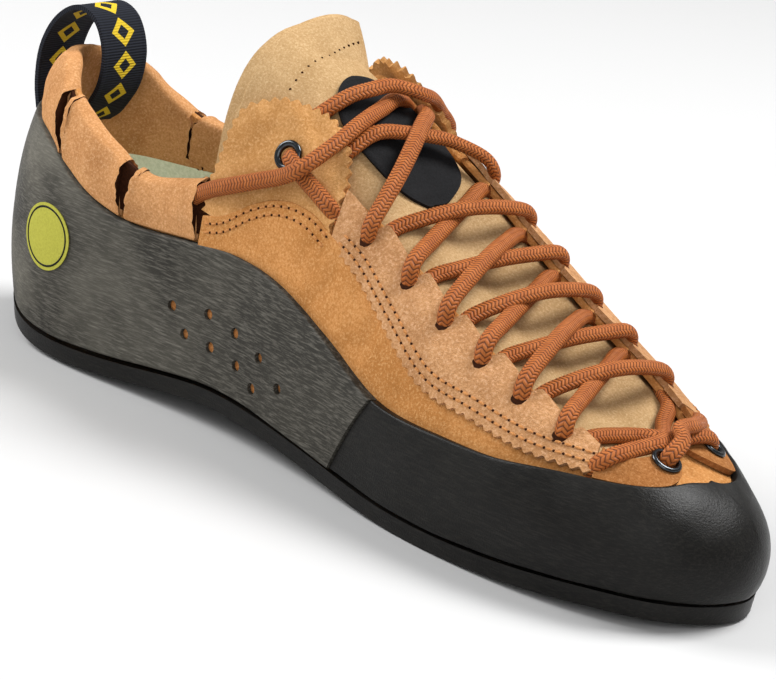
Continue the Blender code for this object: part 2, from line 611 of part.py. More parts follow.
def build_eyelet(name, place, lean=0.0):
    """Turned metal eyelet with its flange on the suede."""
    t, s = place
    profile = [
        (EYELET_BORE, -EYELET_DEPTH), (EYELET_BARREL, -EYELET_DEPTH),
        (EYELET_BARREL, GAP), (EYELET_FLANGE, GAP),
        (EYELET_FLANGE - EYELET_ROUND, EYELET_HEIGHT), (EYELET_BORE + EYELET_ROUND, EYELET_HEIGHT),
        (EYELET_BORE, EYELET_HEIGHT - EYELET_ROUND),
    ]
    bm = bmesh.new()
    verts = [bm.verts.new((r, 0.0, z)) for r, z in profile]
    edges = [bm.edges.new((verts[i], verts[(i + 1) % len(verts)])) for i in range(len(verts))]
    bmesh.ops.spin(
        bm, geom=verts + edges, cent=(0, 0, 0), axis=(0, 0, 1), angle=2 * math.pi, steps=12, use_merge=True,
    )
    bmesh.ops.remove_doubles(bm, verts=bm.verts, dist=1e-6)
    spot = Vector(LAST.skin(t, s, OVER_OUT + lean))
    turn = Vector(LAST.normal(t, s)).to_track_quat("Z", "Y").to_matrix().to_4x4()
    bmesh.ops.transform(bm, matrix=Matrix.Translation(spot) @ turn, verts=bm.verts)
    return finish(name, bm, (0.16, 0.17, 0.18), roughness=0.3, metallic=1.0)


def build_pull_loop():
    """Webbing ring at the heel, sewn on outside and inside the collar."""
    path = np.array(LOOP_PATH)
    fine = np.linspace(0, len(path) - 1, 2 * len(path) - 1)
    slopes = np.gradient(path, axis=0)
    i = np.minimum(fine.astype(int), len(path) - 2)
    u = (fine - i)[:, None]
    line = (
        path[i] * (1 + 2 * u) * (1 - u) ** 2 + slopes[i] * u * (1 - u) ** 2
        + path[i + 1] * u * u * (3 - 2 * u) - slopes[i + 1] * u * u * (1 - u)
    )
    line = LAST.skin(0.0 * fine, line[:, 0], line[:, 1])[:, [0, 2]]
    run = np.gradient(line, axis=0)
    run /= np.linalg.norm(run, axis=1, keepdims=True)
    out = np.stack([-run[:, 1], run[:, 0]], 1)
    across = (-LOOP_WIDTH / 2, 0.0, LOOP_WIDTH / 2)
    grids = []
    for height in (0.0, WEBBING):
        face = line + out * height
        grids.append(np.array([[(x, y, z) for y in across] for x, z in face]))
    return layers("pull_loop", grids[0], grids[1], (0.014, 0.016, 0.024))


def strand(points):
    """Round solid of one lace strand along its points, as a bmesh."""
    curve = bpy.data.curves.new("strand", "CURVE")
    curve.dimensions = "3D"
    curve.bevel_depth = LACE
    curve.bevel_resolution = 1
    curve.use_fill_caps = True
    spline = curve.splines.new("POLY")
    spline.points.add(len(points) - 1)
    for slot, place in zip(spline.points, points):
        slot.co = (*place, 1.0)
    holder = bpy.data.objects.new("strand", curve)
    bpy.context.scene.collection.objects.link(holder)
    bpy.context.view_layer.update()
    solid = holder.evaluated_get(bpy.context.evaluated_depsgraph_get())
    bm = bmesh.new()
    bm.from_mesh(bpy.data.meshes.new_from_object(solid))
    bmesh.ops.remove_doubles(bm, verts=bm.verts, dist=1e-6)
    bpy.data.objects.remove(holder)
    return bm


def crossing(start, end):
    """Points of a strand from one side's hole over the ridge to the other's; places are (t, s)."""
    share = np.array([-1.0, -0.78, -0.5, 0.0, 0.5, 0.78, 1.0])
    t = np.interp(share, [-1, 1], [abs(start[0]), abs(end[0])])
    depth = np.where(share < 0, 1 - start[1], 1 - end[1])
    signed = np.where(share < 0, np.sign(start[0]), np.sign(end[0])) * t
    s = 1 - depth * np.abs(share)
    dip = LACE_RIDE - LACE - PATCH - GAP
    height = LACE_RIDE + GAP - dip * np.clip(1.0 - np.abs(share) * 1.5, 0, 1)
    lean = np.where(share < 0, flap_lean(np.sign(start[0]), s), flap_lean(np.sign(end[0]), s))
    return LAST.skin(signed, s, height + lean * np.clip((6.9 - t) / 0.3, 0, 1) * (np.abs(share) > 0.5))


def build_laces():
    """The crossings over the tongue, joined into one solid."""
    inner, outer = lace_holes(1), lace_holes(-1)
    runs = []
    for k in range(len(inner) - 1):
        runs.append(crossing(inner[k], outer[k + 1]))
        runs.append(crossing(inner[k + 1], outer[k]))
    top, edge = LACE_TOP
    runs.append(crossing(inner[0], (-top, edge)))
    runs.append(crossing((top, edge), outer[0]))
    material = None
    base = None
    for number, points in enumerate(runs):
        obj = finish("lace_crossings" if base is None else f"lace_strand_{number}", strand(points), RUSSET)
        if base is None:
            base = obj
            material = obj.data.materials[0]
            continue
        obj.data.materials[0] = material
        obj.hide_render = True
        obj.display_type = "WIRE"
        join = base.modifiers.new(f"join_{number}", "BOOLEAN")
        join.operation = "UNION"
        join.object = obj
    return base


def build_ankle_lace(side):
    """The lace from the collar band across the flap to the eyestay."""
    start, end = ANKLE_LACE
    share = np.linspace(0, 1, 8)
    t = start[0] + (end[0] - start[0]) * share
    s = start[1] + (end[1] - start[1]) * share + ANKLE_BOW * np.sin(math.pi * share)
    return finish(side_name("lace_ankle", side), strand(LAST.skin(side * t, s, LACE_RIDE)), RUSSET)


def main():
    for obj in list(bpy.data.objects):
        bpy.data.objects.remove(obj)
    build_outsole()
    build_insole()
    build_upper()
    build_tongue()
    build_tongue_patch()
    build_heel_strip()
    build_heel_rand()
    build_toe_rand()
    build_pull_loop()
    first, second, third = COLLAR_SPLITS
    back = stops(0.0, first - SPLIT)
    build_collar_band("heel_tab", np.concatenate([-back[:0:-1], back]))
    for side in (1, -1):
        build_collar_band(side_name("collar_rear", side), side * stops(first + SPLIT, second - SPLIT))
        build_collar_band(side_name("collar_front", side), side * stops(second + SPLIT, third))
        build_flap(side)
        build_eyestay(side)
        build_toe_tab(side)
        build_ankle_lace(side)
        number = 0 if side > 0 else 1
        build_eyelet(side_name("eyelet_top", side), TOP_EYELETS[number])
        build_eyelet(side_name("eyelet_toe", side), TOE_EYELETS[number])
    build_laces()


main()
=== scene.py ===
"""Looks of a lace-up climbing shoe for the left foot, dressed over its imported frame.

Every layer of suede and rubber is a patch of one last. A place on the last is (t, s) with a height
above its skin: t counts sections from the back of the heel (0) to the tip of the toe (13), positive on
the inner side of the foot and negative on the outer side, and s runs from the edge of the foot bed (0)
to the ridge along the top (1). Sizes are in metres unless a name says otherwise.
"""

import logging
import math
from collections.abc import Callable
from dataclasses import dataclass
from enum import Enum

import bmesh
import bpy
import numpy as np
from mathutils import Matrix, Vector


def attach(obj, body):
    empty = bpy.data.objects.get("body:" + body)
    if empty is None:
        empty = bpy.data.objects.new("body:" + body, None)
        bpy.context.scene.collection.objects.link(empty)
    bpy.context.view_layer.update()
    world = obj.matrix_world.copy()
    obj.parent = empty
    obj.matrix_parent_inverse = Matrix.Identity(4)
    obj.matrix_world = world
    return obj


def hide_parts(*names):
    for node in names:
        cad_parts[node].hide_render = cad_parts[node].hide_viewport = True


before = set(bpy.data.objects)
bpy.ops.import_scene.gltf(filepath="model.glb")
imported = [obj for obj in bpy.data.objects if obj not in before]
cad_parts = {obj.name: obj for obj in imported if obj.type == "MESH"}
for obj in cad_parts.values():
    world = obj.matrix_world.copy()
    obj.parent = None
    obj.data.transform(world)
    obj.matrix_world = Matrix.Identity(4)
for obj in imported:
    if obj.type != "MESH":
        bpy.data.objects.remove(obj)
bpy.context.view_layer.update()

LOG = logging.getLogger("shoe")

# The last, with the same sizes as the part
LAST_LENGTH = 0.244
BALL_HALF = 0.040
CONE_HEIGHT = 0.104
ARCH_LIFT = 0.005
HEEL_SEAT = 0.16
SOLE = 0.0046
SUEDE = 0.0018
RAND = 0.0022
RAND_STEP = 0.0007
OVERLAY = 0.0015
BAND = 0.0026
TONGUE = 0.0016
PATCH = 0.0008
INSOLE = 0.0015
WEBBING = 0.0013
GAP = 0.0003
LAYER_GAP = 0.0004
SOLE_SAG = 0.0030
THROAT_HALF = 0.022
OUTER_SHIFT = 0.0045  # how much nearer to the ridge the throat's outer edge lies
SINK = 0.0058  # depth of the tongue and lace below the last at the ridge
SINK_REAR = (6.5, 1.2)  # section where the sinking starts, and its run to the full depth
SINK_FRONT = (11.7, 1.4)  # section where it ends, and its run from the full depth
PERFORATION = 0.0015
LOOP_WIDTH = 0.0155
EDGE_LIFT = 0.0012
LOW_S = 0.004
SEAM_S = 0.005
SEAM_T = 0.017
STRIP_T = 1.05
STRIP_S = 0.30
STRIP_GAP = 0.06
OVER_IN = SUEDE + LAYER_GAP
OVER_OUT = OVER_IN + OVERLAY
RAND_OUT = OVER_IN + RAND
BAND_OUT = OVER_IN + BAND
TONGUE_DEPTH = 3 * GAP
SECTION_RUN = 0.022  # about how long one section is, in metres
NUDGE = 1e-3  # step of t and s over which slopes are taken
WELD = 1e-6  # distance under which vertices are one
LIP_LEVEL = 0.85  # level of a cut panel's chamfer, where its face is 1

# One row for each section of the last, heel first. Columns: ridge x, y, z, foot bed edge x and y on the
# inner and on the outer side, steepness and bulge of the side wall, roundness of the top, edge lift.
# x is a share of LAST_LENGTH, y and bulge of BALL_HALF, z of CONE_HEIGHT and lift of ARCH_LIFT.
COLUMNS = (
    "ridge_x", "ridge_y", "ridge_z", "in_x", "in_y", "out_x", "out_y", "steep_in", "steep_out",
    "bulge_in", "bulge_out", "round_in", "round_out", "lift_in", "lift_out",
)
SECTIONS = (
    (0.120, 0.01, 0.950, 0.000, 0.00, 0.000, 0.00, 0.50, 0.50, 0.245, 0.245, 0.60, 0.60, 1.60, 1.60),
    (0.140, 0.01, 0.970, 0.022, 0.38, 0.022, 0.35, 0.50, 0.50, 0.210, 0.210, 0.50, 0.50, 1.42, 1.45),
    (0.175, 0.01, 0.985, 0.075, 0.62, 0.075, 0.56, 0.55, 0.55, 0.125, 0.125, 0.66, 0.66, 0.36, 0.38),
    (0.220, 0.01, 0.985, 0.160, 0.69, 0.160, 0.65, 0.60, 0.60, 0.075, 0.085, 0.80, 0.80, 0.10, 0.00),
    (0.275, 0.02, 0.980, 0.260, 0.67, 0.260, 0.70, 0.62, 0.62, 0.025, 0.050, 0.90, 0.90, 0.46, 0.00),
    (0.345, 0.02, 0.940, 0.360, 0.69, 0.360, 0.77, 0.60, 0.60, 0.000, 0.025, 0.85, 0.85, 1.00, 0.20),
    (0.420, 0.00, 0.860, 0.455, 0.75, 0.455, 0.85, 0.55, 0.55, 0.025, 0.025, 0.75, 0.75, 0.92, 0.34),
    (0.505, -0.02, 0.760, 0.555, 0.83, 0.550, 0.95, 0.52, 0.50, 0.075, 0.040, 0.70, 0.65, 0.44, 0.16),
    (0.600, -0.09, 0.645, 0.655, 0.93, 0.640, 1.03, 0.50, 0.45, 0.100, 0.050, 0.65, 0.60, 0.02, 0.00),
    (0.700, -0.16, 0.535, 0.755, 0.99, 0.730, 0.98, 0.50, 0.42, 0.100, 0.065, 0.65, 0.55, 0.04, 0.00),
    (0.790, -0.20, 0.445, 0.850, 0.98, 0.815, 0.79, 0.50, 0.42, 0.100, 0.075, 0.65, 0.55, 0.34, 0.06),
    (0.860, -0.25, 0.365, 0.930, 0.87, 0.890, 0.48, 0.50, 0.45, 0.100, 0.090, 0.70, 0.60, 0.62, 0.16),
    (0.895, -0.29, 0.315, 0.980, 0.64, 0.955, 0.17, 0.50, 0.48, 0.112, 0.100, 0.72, 0.68, 0.56, 0.30),
    (0.910, -0.33, 0.285, 1.000, 0.20, 1.000, 0.20, 0.50, 0.50, 0.112, 0.112, 0.72, 0.72, 0.36, 0.36),
)
TOE = len(SECTIONS) - 1

# Edges on the last: section t, s on the inner side, s on the outer side
RAND_TOP = (
    (0.0, 0.375, 0.375), (1.2, 0.370, 0.365), (2.2, 0.335, 0.330), (2.7, 0.288, 0.295),
    (3.2, 0.250, 0.262), (4.5, 0.238, 0.242), (5.2, 0.262, 0.262), (6.1, 0.285, 0.280),
    (6.8, 0.275, 0.275), (7.8, 0.248, 0.262), (8.8, 0.295, 0.290), (9.5, 0.338, 0.330),
    (10.4, 0.435, 0.400), (11.0, 0.505, 0.460), (11.6, 0.590, 0.520), (12.2, 0.700, 0.600),
    (13.0, 0.760, 0.760),
)
COLLAR = (
    (0.0, 0.525, 0.525), (0.9, 0.525, 0.480), (1.5, 0.515, 0.415), (2.1, 0.475, 0.370),
    (2.7, 0.430, 0.345), (3.2, 0.375, 0.333), (3.75, 0.330, 0.328), (4.2, 0.345, 0.345),
    (4.6, 0.370, 0.370),
)
FLAP = (
    (4.66, 0.430, 0.450), (4.75, 0.560, 0.600), (4.95, 0.625, 0.690), (5.25, 0.680, 0.750),
    (5.55, 0.718, 0.775), (5.85, 0.742, 0.775), (6.10, 0.752, 0.760), (6.35, 0.722, 0.725),
    (6.50, 0.660, 0.665),
)
EYESTAY_LOW = (
    (6.40, 0.460, 0.450), (7.00, 0.462, 0.440), (7.60, 0.425, 0.410), (8.40, 0.368, 0.372),
    (8.90, 0.385, 0.385), (9.80, 0.405, 0.400), (10.60, 0.470, 0.450),
)
QUARTER_TOP = (  # the upper edge of the quarter over the ankle flap
    (4.60, 0.285, 0.285), (4.95, 0.310, 0.310), (5.39, 0.385, 0.375), (5.67, 0.430, 0.418),
    (5.98, 0.466, 0.450), (6.26, 0.484, 0.470), (6.62, 0.484, 0.474),
)
SLOTS = (2.40, 3.52, 4.58)  # where the collar band is cut and the lace shows
SLOT_HALF = 0.05
FLAP_LOW = 0.30
QUARTER_ENDS = (4.66, 8.2)
STAY_ENDS = (6.60, 10.58)
TAB_ENDS = (10.62, 12.12)
TAB_CLOSE = (11.75, 0.37)  # section where the toe tab starts to narrow, and its run to a point
LINING_END = 4.6  # section where the heel's lining ends on each side
LINING_S = (0.03, 0.246)
FLAP_FLARE = (0.0, 0.0022)
FLARE_FROM = 0.62
FLARE_RUN = 0.15
THROAT_FRONT = (10.6, 1.6, 0.93)
THROAT_FROM = 6.35
THROAT_BLEND = 0.45
OVER_EDGE = 0.012
TONGUE_EDGE = 0.0060
TONGUE_ENDS = (4.60, 12.35)
TONGUE_TAPER = (11.0, 1.4, 0.010)
TONGUE_TOP = (0.0220, 0.0145)
TONGUE_FREE = 5.25
TONGUE_SPREAD = 1.1
TONGUE_TWIST = 0.0092
TWIST_FROM = -0.2
PATCH_ENDS = (5.70, 7.42)
PATCH_HALF = 0.0145
JOINT_LOW = 7.20
JOINT_SLANT = 2.3
JOINT_REACH = (6.2, 9.2)
STEP_FROM = 5.6
LACE_SECTIONS = (7.06, 7.75, 8.34, 8.91, 9.49, 10.11)
LACE_INSET = 0.0032
PERFORATIONS = (
    (4.42, 0.116), (4.99, 0.128), (5.46, 0.124), (5.93, 0.116), (6.31, 0.088),
    (4.66, 0.076), (5.08, 0.072), (5.55, 0.068), (5.86, 0.047),
)
TOP_EYELET = (5.67, 0.562)
TOE_EYELETS = ((11.70, 0.770), (11.55, 0.690))
LOOP_PATH = (
    (0.340, RAND_OUT + GAP), (0.397, 0.0080), (0.474, 0.0104), (0.558, 0.0097), (0.632, 0.0056),
    (0.654, -0.0015), (0.603, -0.0085), (0.504, -0.0117), (0.404, -0.0097), (0.355, -0.0063),
)
BADGE = (2.44, 0.169)
BADGE_RADIUS = 0.0088

# Creases of the suede, each a run of places (t, s) with its depth and half width; a negative depth is
# a ridge. They lie where the shoe folds behind the ball, at the ankle and along the lacing.
CREASES = (
    (((8.05, 0.300), (8.30, 0.335), (8.45, 0.375)), 0.0005, 0.0022),
    (((8.75, 0.325), (9.00, 0.350), (9.10, 0.385)), 0.0004, 0.0020),
    (((7.20, 0.300), (7.45, 0.345), (7.50, 0.400)), 0.0005, 0.0026),
    (((6.55, 0.310), (6.75, 0.370), (6.80, 0.440)), 0.0004, 0.0024),
    (((4.95, 0.330), (5.35, 0.350), (5.80, 0.400)), -0.0004, 0.0030),
    (((5.00, 0.470), (5.25, 0.545), (5.55, 0.620)), 0.0005, 0.0030),
    (((6.00, 0.520), (6.15, 0.600), (6.10, 0.690)), -0.0005, 0.0028),
    (((7.40, 0.500), (7.90, 0.470), (8.40, 0.465)), -0.0003, 0.0030),
    (((9.00, 0.470), (9.50, 0.480), (10.0, 0.500)), 0.0003, 0.0030),
)

Grid = np.ndarray


def unit(rows: Grid) -> Grid:
    """Rows brought to length one."""
    return rows / np.linalg.norm(rows, axis=-1, keepdims=True)


def eased(share: Grid) -> Grid:
    """A share of 0 to 1 that starts and ends gently."""
    return share * share * (3 - 2 * share)


def travelled(points: Grid) -> Grid:
    """Length of a path up to each of its points."""
    return np.concatenate([[0.0], np.cumsum(np.linalg.norm(np.diff(points, axis=0), axis=1))])


def cubic(u: Grid, start: Grid, end: Grid, leave: Grid, arrive: Grid) -> Grid:
    """Smooth curve between two values.

    Args:
        u: share of the way, 0 to 1.
        start: value at 0.
        end: value at 1.
        leave: slope at 0, over the whole way.
        arrive: slope at 1.

    Returns:
        The values at u.
    """
    return (
        start * (1 + 2 * u) * (1 - u) ** 2 + leave * u * (1 - u) ** 2
        + end * u * u * (3 - 2 * u) - arrive * u * u * (1 - u)
    )


class Side(Enum):
    """Which side of the foot a piece lies on."""

    MEDIAL = 1
    LATERAL = -1

    @property
    def label(self) -> str:
        """The side's word in node names."""
        return self.name.lower()


def periodic(values: Grid) -> Callable[[Grid], Grid]:
    """Smooth closed curve through values at 0, 1, 2 ...

    Args:
        values: one number for each section round the foot.

    Returns:
        A function of the section number.
    """
    values = np.asarray(values, float)
    count = len(values)
    matrix = 4.0 * np.eye(count) + np.roll(np.eye(count), 1, axis=1) + np.roll(np.eye(count), -1, axis=1)
    slope = np.linalg.solve(matrix, 3.0 * (np.roll(values, -1) - np.roll(values, 1)))

    def at(t: Grid) -> Grid:
        """The curve's value at section t."""
        t = np.mod(np.asarray(t, float), count)
        here = np.floor(t).astype(int) % count
        there = (here + 1) % count
        u = t - np.floor(t)
        return cubic(u, values[here], values[there], slope[here], slope[there])

    return at


class Last:
    """The foot form that every layer of the shoe is a patch of."""

    def __init__(self) -> None:
        """Fits the smooth curves through the sections."""
        table = np.array(SECTIONS)
        column = {name: table[:, i] for i, name in enumerate(COLUMNS)}
        outer_y = column["out_y"].copy()
        outer_y[-1] = -column["in_y"][-1]
        edge_z = SOLE + GAP + EDGE_LIFT
        shift = HEEL_SEAT * LAST_LENGTH

        def ring(inner: Grid, outer: Grid) -> Grid:
            """Values round the foot: the inner side from heel to toe, then the outer side back."""
            return np.concatenate([inner, outer[-2:0:-1]])

        self.edge = [
            periodic(ring(column["in_x"], column["out_x"]) * LAST_LENGTH - shift),
            periodic(ring(-column["in_y"], outer_y) * BALL_HALF),
            periodic(ring(column["lift_in"], column["lift_out"]) * ARCH_LIFT + edge_z),
        ]
        self.ridge = [
            periodic(ring(column["ridge_x"], column["ridge_x"]) * LAST_LENGTH - shift),
            periodic(ring(column["ridge_y"], column["ridge_y"]) * BALL_HALF),
            periodic(ring(column["ridge_z"], column["ridge_z"]) * CONE_HEIGHT),
        ]
        self.steep = periodic(ring(column["steep_in"], column["steep_out"]))
        self.bulge = periodic(ring(column["bulge_in"], column["bulge_out"]) * BALL_HALF)
        self.round = periodic(ring(column["round_in"], column["round_out"]))

    def point(self, t: Grid, s: Grid) -> Grid:
        """Places on the last's skin."""
        t, s = np.broadcast_arrays(np.asarray(t, float), np.asarray(s, float))
        foot = np.stack([f(t) for f in self.edge], -1)
        top = np.stack([f(t) for f in self.ridge], -1)
        run = unit(np.stack([f(t + NUDGE) - f(t - NUDGE) for f in self.edge[:2]], -1))
        outward = np.stack([run[..., 1], -run[..., 0], 0 * run[..., 0]], -1)
        rise = (top - foot)[..., 2:3]
        low = foot + np.array([0.0, 0.0, 1.0]) * rise * self.steep(t)[..., None]
        low = low + outward * self.bulge(t)[..., None] * 4 / 3
        high = top + (foot - top) * np.array([1.0, 1.0, 0.0]) * self.round(t)[..., None]
        s = s[..., None]
        return foot * (1 - s) ** 3 + 3 * low * s * (1 - s) ** 2 + 3 * high * s * s * (1 - s) + top * s**3

    def normal(self, t: Grid, s: Grid) -> Grid:
        """Outward directions of the skin."""
        s = np.minimum(np.asarray(s, float), 1 - 2 * NUDGE)
        across = self.point(np.add(t, NUDGE), s) - self.point(np.subtract(t, NUDGE), s)
        upward = self.point(t, s + NUDGE) - self.point(t, s - NUDGE)
        return unit(np.cross(across, upward))

    def skin(self, t: Grid, s: Grid, height: Grid) -> Grid:
        """Places at a height above the skin."""
        return self.point(t, s) + self.normal(t, s) * np.asarray(height, float)[..., None]

    def inset(self, t: Grid, distance: Grid) -> Grid:
        """The s that lies a plan distance from the ridge, at each t."""
        t = np.asarray(t, float)
        shares = np.linspace(0.2, 1.0, 81)
        plan = self.point(t[..., None], shares)[..., :2]
        away = np.linalg.norm(plan - plan[..., -1:, :], axis=-1)
        wanted = np.broadcast_to(distance, t.shape).ravel()
        found = [np.interp(-d, -row, shares) for d, row in zip(wanted, away.reshape(-1, len(shares)))]
        return np.array(found).reshape(t.shape)

    def spread(self, t: Grid, s: Grid, along: Grid, up: Grid) -> tuple[Grid, Grid]:
        """Moves places over the skin by real lengths.

        Args:
            t: sections of the places.
            s: shares of the places.
            along: metres towards growing t.
            up: metres towards growing s, square to along.

        Returns:
            The moved t and s.
        """
        e_t = (self.point(np.add(t, NUDGE), s) - self.point(np.subtract(t, NUDGE), s)) / (2 * NUDGE)
        e_s = (self.point(t, np.add(s, NUDGE)) - self.point(t, np.subtract(s, NUDGE))) / (2 * NUDGE)
        length = np.linalg.norm(e_t, axis=-1, keepdims=True)
        first = e_t / length
        lean = (e_s * first).sum(-1, keepdims=True)
        rise = np.linalg.norm(e_s - first * lean, axis=-1)
        d_s = up / rise
        return t + (along - d_s * lean[..., 0]) / length[..., 0], s + d_s


LAST = Last()


def along(table: tuple, t: Grid) -> Grid:
    """The s of an edge table at signed sections t, smooth through its rows."""
    rows = np.array(table)
    t = np.asarray(t, float)
    size = np.abs(t)
    values = np.empty(t.shape)
    for side, mask in ((1, t >= 0), (2, t < 0)):
        x, y = rows[:, 0], rows[:, side]
        slope = np.gradient(y, x)
        i = np.clip(np.searchsorted(x, size[mask], side="right") - 1, 0, len(x) - 2)
        width = x[i + 1] - x[i]
        u = np.clip((size[mask] - x[i]) / width, 0, 1)
        values[mask] = cubic(u, y[i], y[i + 1], slope[i] * width, slope[i + 1] * width)
    return values


def throat_edge(t: Grid) -> Grid:
    """The s of the upper's edge along the throat, closing round its front end."""
    start, run, tip = THROAT_FRONT
    t = np.asarray(t, float)
    front = np.clip((np.abs(t) - start) / run, 0, 1)
    ease = eased(front)
    half = np.where(t < 0, THROAT_HALF - OUTER_SHIFT, THROAT_HALF)
    return LAST.inset(t, half) * (1 - ease) + tip * ease


def sunk(t: Grid, s: Grid) -> Grid:
    """How far tongue and lace sink below the last between the throat's edges."""
    size = np.abs(t)
    share = np.clip((1 - s) / (1 - throat_edge(t)), 0, 1)
    rear, front = SINK_REAR, SINK_FRONT
    ramp = np.clip((size - rear[0]) / rear[1], 0, 1) * np.clip((front[0] - size) / front[1], 0, 1)
    return SINK * ramp * (1 - share**2)


def smooth_path(knots: tuple | Grid, samples: int, run: Grid | None = None) -> Grid:
    """Smooth curve through knots of any width of row, evenly shared between them.

    Args:
        knots: rows of numbers.
        samples: how many rows to return.
        run: growing number for each knot, where they aren't evenly apart.

    Returns:
        The rows along the curve.
    """
    rows = np.asarray(knots, float)
    run = np.arange(len(rows), dtype=float) if run is None else run
    slopes = np.gradient(rows, run, axis=0)
    fine = np.linspace(run[0], run[-1], samples)
    i = np.clip(np.searchsorted(run, fine, side="right") - 1, 0, len(rows) - 2)
    width = (run[i + 1] - run[i])[:, None]
    u = (fine - run[i])[:, None] / width
    return cubic(u, rows[i], rows[i + 1], slopes[i] * width, slopes[i + 1] * width)


def even(points: Grid, gap: float) -> Grid:
    """Shares (0 to 1) of a path's rows at an even spacing along its length.

    Args:
        points: places along the path.
        gap: wanted spacing.

    Returns:
        Fractional row numbers.
    """
    run = travelled(points)
    count = max(2, round(run[-1] / gap) + 1)
    return np.interp(np.linspace(0, run[-1], count), run, np.arange(len(run)))


def at_rows(table: Grid, rows: Grid) -> Grid:
    """Rows of a table at fractional row numbers."""
    return np.stack([np.interp(rows, np.arange(len(table)), column) for column in table.T], -1)


def folds(places: Grid, t: Grid) -> Grid:
    """How far the creases lower the suede at places on the skin with signed sections t."""
    lowered = np.zeros(places.shape[:-1])
    for knots, depth, width in CREASES:
        run = smooth_path(knots, 14)
        for side in (1.0, -1.0):
            mask = (side * t > run[0, 0] - 1.0) & (side * t < run[-1, 0] + 1.0)
            if not mask.any():
                continue
            line = LAST.point(side * run[:, 0], run[:, 1])
            away = np.linalg.norm(places[mask][:, None, :] - line[None], axis=-1).min(axis=1)
            lowered[mask] += depth * np.exp(-((away / width) ** 2))
    return lowered


def layer(t: Grid, s: Grid, height: Grid, creased: bool = True) -> Grid:
    """Places at a height over the last, with the creases of the suede."""
    skin = LAST.point(t, s)
    t, s, height = np.broadcast_arrays(t, s, height)
    if creased:
        height = height - folds(skin, t)
    return skin + LAST.normal(t, s) * height[..., None]


def crowded(count: int, start: float = 0.8, end: float = 0.8) -> Grid:
    """Shares from 0 to 1 that crowd together towards the two ends."""
    u = np.linspace(0, 1, count)
    blend = start * (1 - u) + end * u
    return u - blend * np.sin(2 * math.pi * u) / (2 * math.pi)


def rim(share: Grid, length: Grid, radius: float) -> Grid:
    """How much of a layer's rounding is left: 1 inside, falling to 0 in an arc at both ends of a run.

    Args:
        share: place along the run, 0 to 1.
        length: the run's real length.
        radius: the rounding's radius.

    Returns:
        Factors between 0 and 1.
    """
    away = np.minimum(share, 1 - share) * length
    inside = np.clip(1 - away / radius, 0, 1)
    return np.sqrt(1 - inside**2)


def solid_grid(
    outer: Grid, inner: Grid, closed: bool = False, chart: Grid | None = None,
) -> bmesh.types.BMesh:
    """Closed solid between two point grids, from a bmesh grid that is extruded once.

    Args:
        outer: rows by columns of places on the face that shows.
        inner: the same for the back.
        closed: whether the last row meets the first.
        chart: rows by columns of two lengths for the UV map.

    Returns:
        The solid, with the chart in the vertex layers along and across.
    """
    rows, columns = outer.shape[:2]
    bm = bmesh.new()
    bmesh.ops.create_grid(bm, x_segments=rows - 1, y_segments=columns - 1, size=0.5)
    row = bm.verts.layers.int.new("row")
    column = bm.verts.layers.int.new("column")
    first = bm.verts.layers.float.new("along")
    second = bm.verts.layers.float.new("across")
    for vert in bm.verts:
        vert[row] = round((vert.co.x + 0.5) * (rows - 1))
        vert[column] = round((vert.co.y + 0.5) * (columns - 1))
    made = bmesh.ops.extrude_face_region(bm, geom=bm.faces[:])
    raised = {item for item in made["geom"] if isinstance(item, bmesh.types.BMVert)}
    high, low = outer.tolist(), inner.tolist()
    lengths = (np.zeros(outer.shape[:2] + (2,)) if chart is None else chart).tolist()
    for vert in bm.verts:
        grid = high if vert in raised else low
        vert.co = grid[vert[row]][vert[column]]
        vert[first], vert[second] = lengths[vert[row]][vert[column]]
    if closed:
        seam = [
            face for face in bm.faces
            if len({vert[row] for vert in face.verts}) == 1 and face.verts[0][row] in (0, rows - 1)
        ]
        bmesh.ops.delete(bm, geom=seam, context="FACES_ONLY")
        bmesh.ops.remove_doubles(bm, verts=bm.verts, dist=2e-6)
    bmesh.ops.recalc_face_normals(bm, faces=bm.faces)
    return bm


def tube(points: Grid, up: Grid, wide: Grid, thick: Grid, around: int = 18) -> bmesh.types.BMesh:
    """Closed oval tube along a path.

    Args:
        points: places along the centre line.
        up: directions of the oval's short axis.
        wide: half the oval's width at each place.
        thick: half its thickness at each place.
        around: how many sides it has.

    Returns:
        The tube, charted by length and by height round the oval.
    """
    run = unit(np.gradient(points, axis=0))
    side = unit(np.cross(run, up))
    top = np.cross(side, run)
    angle = np.linspace(0, 2 * math.pi, around + 1)
    cos, sin = np.cos(angle)[None, :, None], np.sin(angle)[None, :, None]
    ring = points[:, None] + side[:, None] * cos * wide[:, None, None]
    ring = ring + top[:, None] * sin * thick[:, None, None]
    ring[:, -1] = ring[:, 0]
    bm = bmesh.new()
    rows = len(points)
    bmesh.ops.create_grid(bm, x_segments=rows - 1, y_segments=around, size=0.5)
    first = bm.verts.layers.float.new("along")
    second = bm.verts.layers.float.new("across")
    length = travelled(points)
    table = ring.tolist()
    for vert in bm.verts:
        i = round((vert.co.x + 0.5) * (rows - 1))
        j = round((vert.co.y + 0.5) * around)
        vert.co = table[i][j]
        vert[first] = length[i]
        vert[second] = abs((j / around - 0.25 + 0.5) % 1.0 - 0.5) * 2
    bmesh.ops.remove_doubles(bm, verts=bm.verts, dist=WELD)
    bmesh.ops.holes_fill(bm, edges=[edge for edge in bm.edges if edge.is_boundary], sides=around + 2)
    bmesh.ops.recalc_face_normals(bm, faces=bm.faces)
    return bm


def seated(spot: Vector | Grid, normal: Vector | Grid) -> Matrix:
    """Matrix of a small thing that stands on a spot with its Z along a normal."""
    turn = Vector(normal).to_track_quat("Z", "Y").to_matrix().to_4x4()
    return Matrix.Translation(Vector(spot)) @ turn


